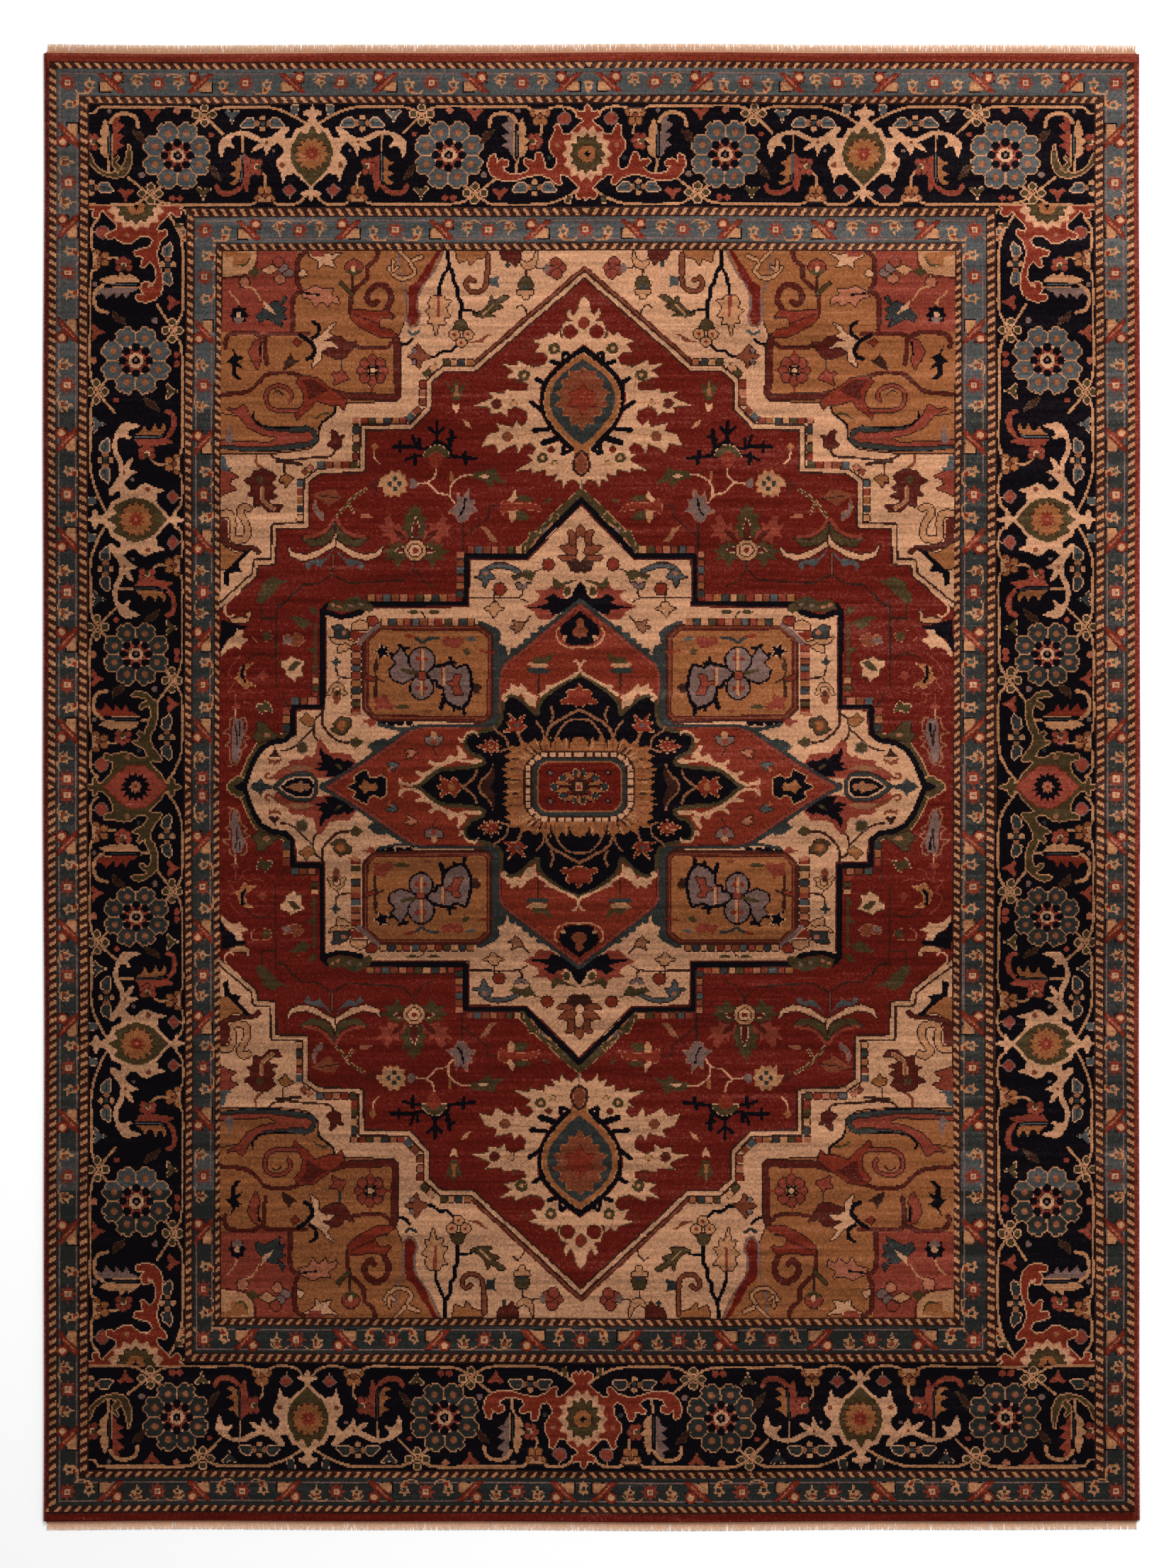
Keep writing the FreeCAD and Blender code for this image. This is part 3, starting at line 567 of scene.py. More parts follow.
def gold_corner(p):
    """The gold piece in the corner: stems, flames and blossoms."""
    p.area(GOLD_EDGE, "gold", edge="brown")
    # Red tongue with a pale edge.
    p.area([(35.2, 132.4), (36.4, 129.4), (38.4, 125.6), (40.4, 123), (41.4, 120.6), (41.5, 117.4),
            (40.7, 115.4), (41.4, 113.2), (42.8, 112.9), (43.9, 114.4), (43.7, 118), (44, 121.5),
            (45.4, 124.4), (46, 132.4)], "gold", edge="mauve", wide=3)
    p.area([(35.4, 132.4), (37.8, 128), (38.4, 125.6), (40.4, 123), (41.5, 120.6), (41.6, 117.4),
            (40.8, 115.4), (41.6, 113.4), (42.8, 113.1), (43.8, 114.4), (43.5, 118), (43.7, 121.5),
            (43.4, 123), (41.4, 124.4), (39.6, 128), (38, 130), (36.6, 132.4)], "red")
    p.line([(40.4, 130.6), (43.2, 129.2), (42.2, 127), (43.2, 125.5), (45.6, 125), (47.4, 126),
            (48.6, 127.8)], "tan", 0.8, edge="brown")
    p.line([(43.8, 129.6), (46.2, 132)], "tan", 0.8, edge="brown")
    p.line([(46.4, 128), (47.6, 127.2), (47.6, 129.6)], "tan", 0.6, edge="brown")
    # Coral ground at the outer corner, and a tan piece beyond it.
    p.area([(71.8, 132.4), (72, 124.6), (70.8, 122), (73, 119.6), (73, 111.6), (78, 111.4), (80.4, 110.4),
            (82, 111.4), (91, 111.6), (91, 132.4)], "coral")
    p.area([(82, 132.4), (82.2, 129), (84, 126.6), (86.5, 125.9), (91, 125.4), (91, 132.4)], "tan",
           edge="deep_red", wide=3)
    p.area([(83.4, 131.4), (84.6, 129), (88, 128), (88, 130.4), (91, 131), (91, 132.4)], "gold")
    p.line([(83.8, 130.4), (85, 128.6), (87, 128.8)], "olive", 0.5)
    for route, width in (
        ([(51.3, 132.2), (51.8, 130), (53.9, 128), (54, 125.2), (55.8, 123.4), (57.6, 121.6), (58, 119),
          (58, 116.4)], 0.9),
        ([(47.6, 115.2), (49, 117), (47.9, 119.4), (48.3, 122), (50, 123.4), (52.2, 123.1), (53.7, 121.3),
          (53.6, 119.4), (52.4, 118.5), (51.4, 119.1)], 1.3),
        ([(46.6, 110.2), (46.2, 107), (46.1, 100), (46.1, 95.2), (52, 95.1), (58, 95.2), (62, 96.2)], 1.5),
        ([(47.6, 108.6), (49, 107.4), (54, 107.3), (58, 108)], 0.7),
        ([(66, 98.6), (70, 100), (73, 101), (76, 101.1), (79, 100.5), (81, 98.6), (84, 96.4), (91, 95.6)],
         0.8),
        ([(69.4, 132), (71.4, 130), (71.5, 124.6), (70.6, 122.2), (72.2, 120.6), (72.7, 118), (72.5, 112)],
         1.0),
        ([(68.6, 111), (73, 111.1), (78, 111), (80.2, 110.1), (82, 111.2), (85, 111.4), (88.6, 110.9),
          (89.8, 109), (89.6, 107.6)], 0.9),
        ([(79.4, 110), (79.3, 106), (78.9, 103.4)], 0.9),
    ):
        p.line(route, "deep_red", width, edge="brown", wide=1)
    p.area([(46.2, 110.4), (47.4, 111.8), (50.8, 112.4), (51, 114), (50, 115.2), (47.2, 115), (48.6, 117),
            (52, 116.6), (57.8, 117.2), (58, 115), (56, 113), (53, 111.4), (50, 110), (47.6, 110)], "brick",
           edge="brown")
    p.line([(51.4, 113.6), (54, 114.6), (57, 116)], "deep_red", 0.6)
    p.line([(57.6, 121.4), (57.6, 125.6)], "brown", 0.7)
    p.line([(57.8, 121.2), (60.4, 123.8)], "olive", 0.8, edge="brown")
    p.disc(57.4, 128, 2.1, 1.8, "coral", edge="brown")
    p.area([(55.4, 127), (57.4, 125.4), (59.4, 127), (57.4, 128)], "olive")
    p.disc(57.4, 127.6, 0.6, 0.8, "ivory")
    p.area([(60.4, 131.6), (63, 131), (66.4, 132), (69, 131), (66.4, 129.6), (66.4, 127.6), (65, 128.8),
            (62.2, 128), (63, 129.8)], "ivory", edge="brown")
    p.area([(64, 132.4), (65, 130.6), (68, 130.6), (68.6, 132.4)], "coral")
    p.area([(60.8, 118.4), (61.2, 120), (63, 121), (62.4, 122.6), (65, 122.4), (67, 123.2), (69.8, 121.8),
            (70.4, 120.4), (68, 119.8), (66.8, 117.8), (65.4, 119.4), (63.6, 118), (62.8, 119.2)], "pink",
           edge="brown")
    p.line([(66, 121), (69.4, 121.4)], "navy", 0.5)
    p.area([(69, 126), (70, 127.8), (71, 126.8), (71, 125.4)], "ivory", edge="brown")
    # Blossoms on the coral ground.
    for x, y, yarn in ((74, 126.6, "mauve"), (75.4, 128, "mauve"), (76, 125, "pink"),
                       (76.4, 129.4, "coral")):
        p.disc(x, y, 1.3, 1.1, yarn, edge="brown")
    p.area([(76.4, 127.6), (78.4, 128.6), (80.8, 127.4), (78.8, 126)], "tan", edge="brown")
    p.area([(80.8, 127), (82.4, 128.2), (84.4, 126.8), (82.4, 125.2)], "olive")
    p.star(85, 124.2, 8, 1.6, 1.1, "pink", edge="brown")
    p.area([(74.6, 121.2), (75.6, 119), (77.4, 119.2), (80, 117.6), (81.8, 115.6), (81.2, 113.8),
            (79.4, 114.8), (77.2, 113.8), (75, 112.6), (75.6, 114.8), (74, 114.6), (75, 116.6),
            (73.8, 117.4), (75.8, 118.2), (74, 119.6)], "teal", edge="navy", wide=1)
    p.area([(76.8, 115.8), (78, 117.6), (80.2, 119.6), (79.6, 117.4)], "ivory")
    p.line([(80.8, 119.6), (82.6, 122.4), (84.6, 123)], "tan", 0.45)
    p.line([(86.6, 117.8), (86.7, 119.2), (89, 122)], "tan", 0.45)
    p.star(86.4, 115.8, 8, 2.6, 1.9, "navy")
    p.area([(84.8, 114.8), (86.4, 113.2), (88, 114.8), (86.4, 115.6)], "mauve")
    p.disc(86.4, 115.9, 0.7, 0.9, "ivory")
    # Blossoms on the gold ground.
    for k in range(8):
        a = math.radians(45 * k)
        p.disc(52.2 + 2.7 * math.cos(a), 101.6 + 2.7 * math.sin(a), 1.15, 1.15, "coral", edge="brown")
    p.star(52.2, 101.6, 4, 2.1, 0.9, "navy", phase=45)
    p.disc(52.2, 101.6, 0.7, 0.7, "ivory")
    for tip in ((52.2, 106.9), (52.2, 96.2), (47, 101.6)):
        p.line([tip, (52.2 + (tip[0] - 52.2) * 0.75, 101.6 + (tip[1] - 101.6) * 0.75)], "brick", 0.5)
    p.line([(60, 104.6), (60, 101.6)], "teal", 0.5)
    p.area([(60, 101.9), (60.8, 100.8), (62.6, 101), (61.4, 99.6), (61.8, 98), (59.8, 99), (58, 99.4),
            (59, 100.6)], "coral", edge="brown")
    p.area([(56.4, 109), (58.6, 108.4), (60, 110), (64, 110.8), (65, 107.6), (64.4, 105.8), (61, 104.6),
            (59, 105), (57.6, 107)], "deep_red", edge="brown")
    p.area([(61.4, 113.8), (63.2, 113), (64.6, 111.2), (67.6, 109.2), (66.2, 107.4), (66.8, 104.8),
            (67.4, 102.4), (65.2, 104.4), (65.2, 106.4), (63.4, 107.6), (60.8, 107.2), (62.6, 108.8),
            (65, 109), (62.2, 110.4), (63.4, 111.4)], "ivory", edge="brown")
    p.line([(67.3, 113.9), (65.9, 112.8), (66.2, 111), (67.6, 109.9)], "navy", 0.9)
    p.line([(70.6, 110.6), (68.4, 109.2), (66.9, 107), (67.4, 105.2), (68.8, 104.6)], "navy", 1.1)
    p.area([(80, 109.8), (82.2, 109.4), (83.6, 106.4), (82.6, 104), (81.4, 102), (80.4, 104.4),
            (81.2, 107)], "coral", edge="brown")
    p.line([(80.6, 109), (80.9, 105.6)], "navy", 0.5)
    p.area([(72.9, 106), (74.4, 103.8), (74.8, 101.6), (72.6, 102.8), (70.6, 104.2), (72, 104.6)], "brown")
    p.area([(70.2, 108.8), (71.6, 109.8), (72.4, 108.8), (71.4, 107.8)], "brick", edge="brown")
    p.area([(88.3, 108), (87.5, 105.7), (89.6, 103.7), (88.1, 103.5), (88, 100.8), (86.8, 99.2),
            (85.2, 99.3), (86.9, 101), (86.8, 102.8), (84.6, 101.8), (86.5, 104), (85, 105), (86.8, 105.8)],
           "navy")
    p.area([(58.8, 94.2), (61, 95.9), (63.4, 97.6), (66, 99.6), (70, 100.2), (71.4, 98.8), (69.6, 96.4),
            (69.2, 94), (70, 92.4), (71.7, 91.7), (71.2, 89.4), (69.8, 90.8), (67.6, 92.4), (66.2, 94.2),
            (63.4, 93.2), (60.4, 93), (59.4, 91.8)], "brick", edge="brown")
    p.area([(63, 96.6), (67, 99.4), (70.2, 99.4), (68.6, 97), (68.4, 94), (66.6, 95)], "deep_red")
    p.line([(71, 91.7), (76, 91.7), (78.2, 92.6), (79, 94.4), (78.8, 96.4), (77.2, 97.6), (75, 97.7),
            (73, 96.6), (72.4, 95), (73, 94.2)], "coral", 0.7, edge="brown")
    p.line([(74.8, 95.6), (76, 96.6), (77.2, 96)], "brown", 0.4)
    p.area([(65.7, 84.2), (66.3, 86.8), (68.6, 87.8), (75, 87.3), (80, 87.9), (82.3, 89.8), (84, 89),
            (91, 90), (91, 82.4), (84, 81.6), (76, 81.7), (70, 82.3), (67.2, 82.9)], "teal", edge="navy",
           wide=1)
    p.area([(66.8, 84.8), (67.8, 86.3), (71, 86), (75, 86.4), (79, 86.8), (81.4, 88), (83.4, 90.6),
            (84.8, 93.2), (86.6, 92), (89, 92.2), (87, 90.8), (85.6, 88.8), (84, 87), (91, 87.6),
            (91, 83.4), (84, 82.8), (77, 83), (71, 83.8), (68, 84)], "coral", edge="brown")
    p.area([(84, 87.4), (86, 90), (91, 91), (91, 84.6), (84, 84.2), (78, 84), (76.4, 84.8), (80, 85.4)],
           "gold", edge="brown")
    p.area([(87.6, 85.6), (88.4, 88.6), (89, 86), (89.8, 84.4), (88.6, 83.2), (87.4, 84.4)], "mauve")
    p.line([(82.2, 91.4), (82.2, 89.6), (80.6, 88.2), (77, 87.5), (72, 87.5)], "navy", 0.5)
    p.line([(61.6, 92.6), (61.8, 91), (64.9, 88.6), (65.4, 86.8)], "navy", 0.5)
    p.line([(62.4, 90.8), (64.6, 90.8), (66.4, 89.6)], "olive", 0.5)


def pendant(p):
    """The ivory pendant above the medallion, with its dark oval."""
    p.area(PENDANT, "ivory", edge="olive", wide=1)
    for x, y, yarn, r in ((3.3, 111.4, "red", 1.7), (7.2, 107.1, "olive", 1.3), (14.5, 100.3, "olive", 1.4),
                          (17, 93.4, "tan", 0.8), (21.2, 93.3, "deep_red", 1.2), (18.4, 85.1, "rust", 1.2),
                          (9.6, 79.8, "olive", 1.2), (6.6, 78.6, "tan", 0.6), (12, 103.6, "red", 0.9),
                          (16, 98, "red", 0.8), (14, 107.6, "red", 0.7), (7.6, 81.9, "red", 0.8)):
        p.disc(x, y, r, r * 0.95, yarn, edge="olive", wide=1)
    for x, y in ((7.2, 107.1), (14.5, 100.3), (9.6, 79.8)):
        p.disc(x, y, 0.5, 0.5, "tan")
    for route in ([(12, 93.4), (20, 93.4)], [(3, 77.6), (8, 78.4)], [(11, 86), (17, 85.4)],
                  [(12.6, 97), (13.4, 100)]):
        p.line(route, "tan", 0.35)
    p.disc(0, 113.6, 1.3, 1.4, "brick", edge="olive", wide=1)
    lens = [(0, 108), (3, 105.8), (6.4, 103), (8.6, 100.4), (10.2, 98), (10.6, 94.4), (10, 90.6),
            (8.4, 87.6), (6, 84.6), (4, 82.4), (2, 81.4), (0, 81)]
    p.area(lens, "navy", edge="brick", wide=1)
    for route, width in (([(3, 105), (4.6, 106.2), (5, 104.4)], 0.9), ([(5, 103), (7.8, 103.9)], 1.2),
                         ([(9.4, 98.2), (11.4, 99.4)], 1.2), ([(9.8, 91.6), (12.6, 93.6)], 1.2),
                         ([(8.4, 87), (12, 86.7)], 1.2), ([(6.4, 84.6), (9.6, 83.6)], 1.6),
                         ([(4.4, 83), (4.6, 81), (3, 81.6)], 1.1)):
        p.line(route, "navy", width)
    ring = [(0, 106), (2.4, 104.4), (5.4, 102), (8, 99), (9.3, 96), (9.4, 93), (8.6, 90), (6.4, 87),
            (3.8, 84.4), (2, 82.4), (1.8, 79.6), (0, 78.4)]
    p.area(ring, "gold", edge="tan", wide=1)
    blue = [(0, 104.4), (2, 103.2), (5, 100.8), (7, 98.4), (8, 95.6), (8, 93), (7.2, 90.4), (4.6, 87.2),
            (2.6, 85), (0, 83)]
    p.area(blue, "teal")
    p.area([(0, 102.4), (1.4, 101.2), (3.4, 101.4), (3.2, 99.6), (5.2, 99), (4.6, 97.2), (6.6, 96),
            (5, 94.8), (6.6, 92.8), (4.6, 92.4), (4.8, 90.4), (3, 90.4), (2.6, 88), (1.2, 88.8), (0, 86.6)],
           "rust", edge="gold", wide=1)
    p.area([(0, 98.6), (1.2, 96.6), (3.4, 96), (2.6, 94.4), (3.6, 92.6), (1.4, 92.6), (0, 90.4)], "brick",
           edge="deep_red", wide=1)
    p.area([(0, 82), (1.5, 80.8), (2.4, 78.4), (2, 76.4), (0, 75)], "brown")
    p.area([(0, 81), (1.1, 79.8), (1.5, 78.2), (1.2, 76.8), (0, 76)], "rust", edge="pink", wide=1)
    p.line([(0, 74.4), (0, 70.4)], "mauve", 0.45)


def field_motifs(p):
    """What is scattered over the red field."""
    # Buds between the pendant and the stepped edge.
    p.area([(29, 99), (29.8, 96), (30.4, 94.2), (32, 94.2), (32.8, 96.6), (34, 99), (32.6, 97.4),
            (31.4, 99.6), (30.2, 97.4)], "olive")
    p.area([(30.6, 95), (31.2, 99), (32, 95)], "gold")
    p.area([(30.2, 93.6), (30.6, 91.8), (31.2, 91), (31.9, 91.8), (32.3, 93.6), (31.3, 92.8)], "ivory")
    p.area([(27, 86.9), (28, 88.6), (29.8, 89.6), (28.9, 87.9)], "tan")
    # Fan flower on navy branches.
    for route, width in (
        ([(36, 83.4), (36, 88.8)], 0.8), ([(34.4, 87.2), (36, 86), (37.8, 87.3)], 0.9),
        ([(36, 83.6), (33.2, 82), (32.8, 80.6)], 1.8),
        ([(33, 82), (32.4, 84.6), (32.4, 86.4)], 1.2), ([(31.4, 85), (33.4, 84.4)], 0.8),
        ([(33.4, 80.6), (29.6, 80), (26, 79.7)], 0.9),
        ([(28.6, 78.6), (28.9, 81.4)], 1.0), ([(36, 83.6), (38.8, 82.2), (42, 82.6), (46.8, 82.6)], 0.9),
        ([(40.4, 82.2), (40.3, 84.6)], 1.0), ([(41.2, 83), (42, 85.4)], 0.8),
        ([(45, 83.8), (45, 81.4)], 0.8),
        ([(38.6, 80.4), (41.4, 80.2), (43.8, 79.4)], 0.8), ([(41.6, 80.8), (41.4, 78.4)], 1.0),
    ):
        p.line(route, "navy", width)
    p.area([(32.8, 80.2), (33.2, 81.6), (34.8, 82.9), (36.2, 83.1), (37.8, 82.5), (39, 81.2), (39.3, 80.2)],
           "olive", edge="ivory", wide=1)
    p.area([(34.4, 80.2), (35, 78.4), (36.1, 77.2), (37.2, 78.4), (38, 80.2), (36.2, 81.6)], "brick",
           edge="rust", wide=1)
    p.area([(18.4, 73.6), (20.2, 75), (21.4, 77.6), (23, 76.8), (26.4, 76.6), (27.6, 75), (24.6, 74.4),
            (22.2, 72.7), (21.6, 74)], "olive")
    p.area([(22.4, 75.2), (24, 75.9), (25.4, 75.2), (23.6, 74.8)], "ivory")
    for route in ([(27, 75.6), (29.4, 75.4), (31.6, 74), (32.4, 72.8), (32.4, 70.2)],
                  [(31.4, 68.9), (33, 70.8), (35.4, 71.4), (37.2, 73.2), (38.2, 73.7), (41, 73.6)],
                  [(38.2, 73.7), (36.4, 75.2), (36, 77)]):
        p.line(route, "ivory", 0.45)
    p.area([(31.6, 74), (31.8, 76.4), (32.6, 76.4), (32.6, 74)], "gold")
    p.area([(27.8, 72.4), (28.9, 70.8), (29.6, 70), (30.6, 71.6), (30.9, 68.6), (33, 66.6), (31, 66.2),
            (30.6, 64.8), (29.4, 64.2), (28.2, 64.8), (27.4, 66.4), (25.6, 66.8), (26.9, 68), (26.4, 69.6),
            (27.9, 69.7)], "mauve", edge="pink", wide=1)
    p.line([(28.8, 69.8), (29.2, 67.4), (30.2, 65.8)], "navy", 0.5)
    p.line([(29.2, 64), (29.2, 57)], "brown", 0.5)
    p.area([(40.4, 73.6), (41.6, 75), (42.6, 74.6), (42.4, 72.4), (41.2, 72.6)], "mauve")
    p.star(46.2, 73.6, 10, 3.4, 2.6, "tan", edge="gold", wide=1)
    p.area([(48, 75.6), (49.6, 75), (50.9, 72.8), (49, 73), (48.8, 70.4), (47, 71.4)], "tan")
    for x, y in ((46.2, 74.8), (46.2, 72.4), (45, 73.6), (47.4, 73.6)):
        p.disc(x, y, 0.6, 0.6, "teal")
    p.area([(50.2, 75.4), (52, 74), (53.6, 73.4), (52, 72.4), (51, 70.6), (50.6, 72.6)], "deep_red")
    # Tulip lying on its side.
    p.area([(9.6, 66.6), (10.6, 68.2), (13, 68.9), (16.4, 68.8), (19, 69.8), (20, 68.6), (19.8, 66),
            (18.4, 66.8), (15, 67.4), (12, 67.2)], "brick", edge="pink", wide=1)
    p.area([(11.6, 69.8), (14, 70.8), (16, 70.6), (16, 69.4), (13.6, 69.2)], "olive")
    p.area([(12.4, 65.4), (14, 67), (16.2, 66.8), (15.8, 64.8), (13.6, 64.6)], "olive")
    p.area([(16.4, 72.2), (16, 70.2), (17.2, 68.9), (18.2, 69.6), (17.4, 70.6)], "ivory")
    p.area([(16.2, 67), (17.9, 67), (17.8, 65.4), (17, 64), (16, 65.4)], "tan")
    p.line([(20.6, 68.1), (22.8, 68), (23, 65.4), (29, 60.6)], "brown", 0.4, curved=False)
    p.area([(20.4, 59.6), (21.8, 61), (22.6, 62.6), (25, 63.6), (23.4, 61.4), (22.4, 59.8)], "orange")
    p.area([(7, 70.2), (8.4, 69.8), (9.6, 68.8), (8, 69)], "olive")
    # Round flower with four petals, green leaves behind it and a flame on each shoulder.
    p.area([(38.4, 60.4), (38, 63.4), (39, 63.8), (38.4, 66), (39.6, 65.8), (39.6, 68), (40.4, 67.4),
            (41, 69.2), (41.8, 67.6), (42.8, 68), (42.7, 66.2), (44, 66.4), (43.6, 64), (44.4, 63.2),
            (43.6, 60.4)], "olive")
    for side in (-1, 1):
        d = Pen(41, 57.6).scaled(side, 1)
        d.area([(2, 1.2), (4.6, 2.4), (4.8, 1.2), (7, 1.6), (6.2, 0.4), (8.6, -0.2), (6.6, -1.2),
                (7.6, -2.6), (5.6, -2.2), (4.2, -4.4), (3.4, -2.6), (1.6, -2)], "olive")
        d.area([(2, 2.4), (2.4, 4.8), (3.6, 4.6), (3.8, 6.6), (5, 5.8), (6.6, 8.6), (7.8, 7.6), (7.4, 5.8),
                (9.6, 6.2), (8, 4.4), (8.8, 3), (6.6, 3.2), (6.2, 1.6), (4.6, 2.4)], "coral")
        d.blade(4, 3.6, 38, 4.4, 1.5, "deep_red")
        d.blade(3.4, 0, -8, 3.2, 1.2, "deep_red", edge="ivory")
    p.blade(41, 62.2, 90, 7, 1.7, "deep_red", edge="ivory")
    p.disc(41, 57.5, 2.6, 2.6, "tan", edge="brown")
    p.disc(41, 57.5, 1.5, 1.5, "ivory", edge="brown")
    p.disc(41, 57.5, 0.7, 0.7, "brick")
    p.line([(41, 54.8), (41, 53.2)], "brown", 0.5)
    p.line([(36, 48.8), (39, 50), (41, 53.2), (44, 50.4)], "brown", 0.4, curved=False)
    p.line([(44, 50.4), (52, 49.8), (57.6, 49.6), (61.8, 51.8), (65.4, 49.4), (69.6, 49.2), (73.4, 45.2),
            (76, 44), (76, 31)], "brown", 0.5, curved=False)
    # Winged motif.
    for side in (-1, 1):
        def at(points):
            return [(61.2 + side * x, y) for x, y in points]

        p.area(at([(0, 64.4), (1.6, 61.8), (4.6, 60), (8.6, 60.6), (6.4, 58.6), (3, 58.8), (0.6, 60.4)]),
               "olive", edge="brown")
        p.line(at([(0.4, 65), (2, 62.6), (4.4, 61.2), (7.6, 60.6)]), "coral", 0.8)
        p.area(at([(0.4, 57.8), (2.4, 55.6), (6, 55), (9.6, 53.2), (7.6, 54.2), (6.6, 52.6), (5.8, 54.4),
                   (3.6, 53.6), (1.2, 56.4)]), "blue")
        p.area(at([(-0.4, 62), (0.8, 59.6), (3.6, 57.8), (7.4, 56.4), (10.6, 57), (12.2, 58.8),
                   (11.2, 56.2), (8.2, 55), (4.6, 55.8), (1.6, 57.8), (0, 58.6)]), "ivory", edge="brown")
    p.line([(61.8, 56.4), (61.8, 52)], "coral", 0.45, edge="brown")
    p.line([(53.6, 72.3), (57, 69.9), (60.6, 65.8)], "olive", 0.5, edge="tan", wide=1)
    p.line([(58, 69.2), (56.6, 66.6)], "olive", 0.4, edge="tan", wide=1)
    p.area([(59.4, 70), (61.2, 72.4), (64, 72), (67.4, 71), (65, 69.6), (62.8, 68), (61, 69.4)], "rust")
    p.line([(59, 69.9), (65, 70.8)], "brown", 0.35)
    p.area([(66.2, 69.9), (66.9, 68), (66, 66), (64, 64.6), (64, 66.2), (65.8, 67.4)], "mauve", edge="pink",
           wide=1)
    p.area([(51.4, 65.4), (53, 66.4), (54.8, 66.4), (54.6, 65.2)], "pink")
    p.area([(72.4, 50.4), (75, 50.2), (76.8, 51.4), (79.6, 49.8), (80, 47.4), (81, 45), (78.6, 45.6),
            (77, 47), (75.6, 48.8)], "olive")
    p.area([(50.4, 82.8), (51.4, 83.8), (52.4, 82.8), (51.4, 81.4)], "gold")
    p.line([(51.4, 81.2), (51.3, 79.8), (50, 78.4)], "ivory", 0.4)


def draw_field():
    """The red field and all that lies in it outside the medallion."""
    p = Pen()
    p.area([(0, 0), (91, 0), (91, 132.4), (0, 132.4)], "red")
    corner_band(p)
    corner_band_motifs(p)
    gold_corner(p)
    pendant(p)
    field_motifs(p)


# ------------------------ medallion, in centimetres from the middle of the rug
STAR = [(0, 69.6), (9.8, 60), (13.4, 56.1), (28.2, 56), (28.3, 44.7), (53, 44.5), (54.4, 42.7), (57, 41.9),
        (60, 41.6), (62.4, 42.4), (64.1, 43), (64.1, 19.7), (71.5, 19.5), (71.7, 13.2), (73.6, 11.5),
        (77, 11), (79.8, 9.4), (81.8, 6.4), (83.3, 2.6), (84.3, 0)]
LOZENGE = [(0, 44.2), (4, 41.2), (10, 36.4), (15.6, 32), (18.4, 29.8), (19.7, 27.4), (19.7, 17.4),
           (20.8, 15.2), (39.6, 14.8), (44, 12), (50, 7.8), (55.4, 4.2), (60, 1.4), (62.6, 0)]
PANEL = [(22.3, 36.6), (25, 38.8), (49.8, 38.9), (53, 35.8), (53, 19.4), (50.8, 17.1), (23.4, 16.7),
         (22.3, 17.8)]
ROSETTE = [(0, 27.7), (3, 26.2), (6, 24.2), (8.6, 22.2), (10, 20), (10.4, 17.9), (12.4, 19.7), (14.6, 21.5),
           (16.4, 22.4), (18.2, 22), (19, 20.6), (19.4, 16.6), (21, 14.6), (25, 13.6), (27.6, 13),
           (28.4, 11), (27, 8.4), (24.4, 7.3), (23.8, 5.8), (27, 5), (31, 4.6), (34.4, 4.2), (37, 2.6),
           (39.4, 0.6), (41, 0)]
CARTOUCHE = [(0, 8.7), (9.4, 8.7), (11.6, 7.6), (13.2, 6), (13.8, 4.2), (13.8, 0)]


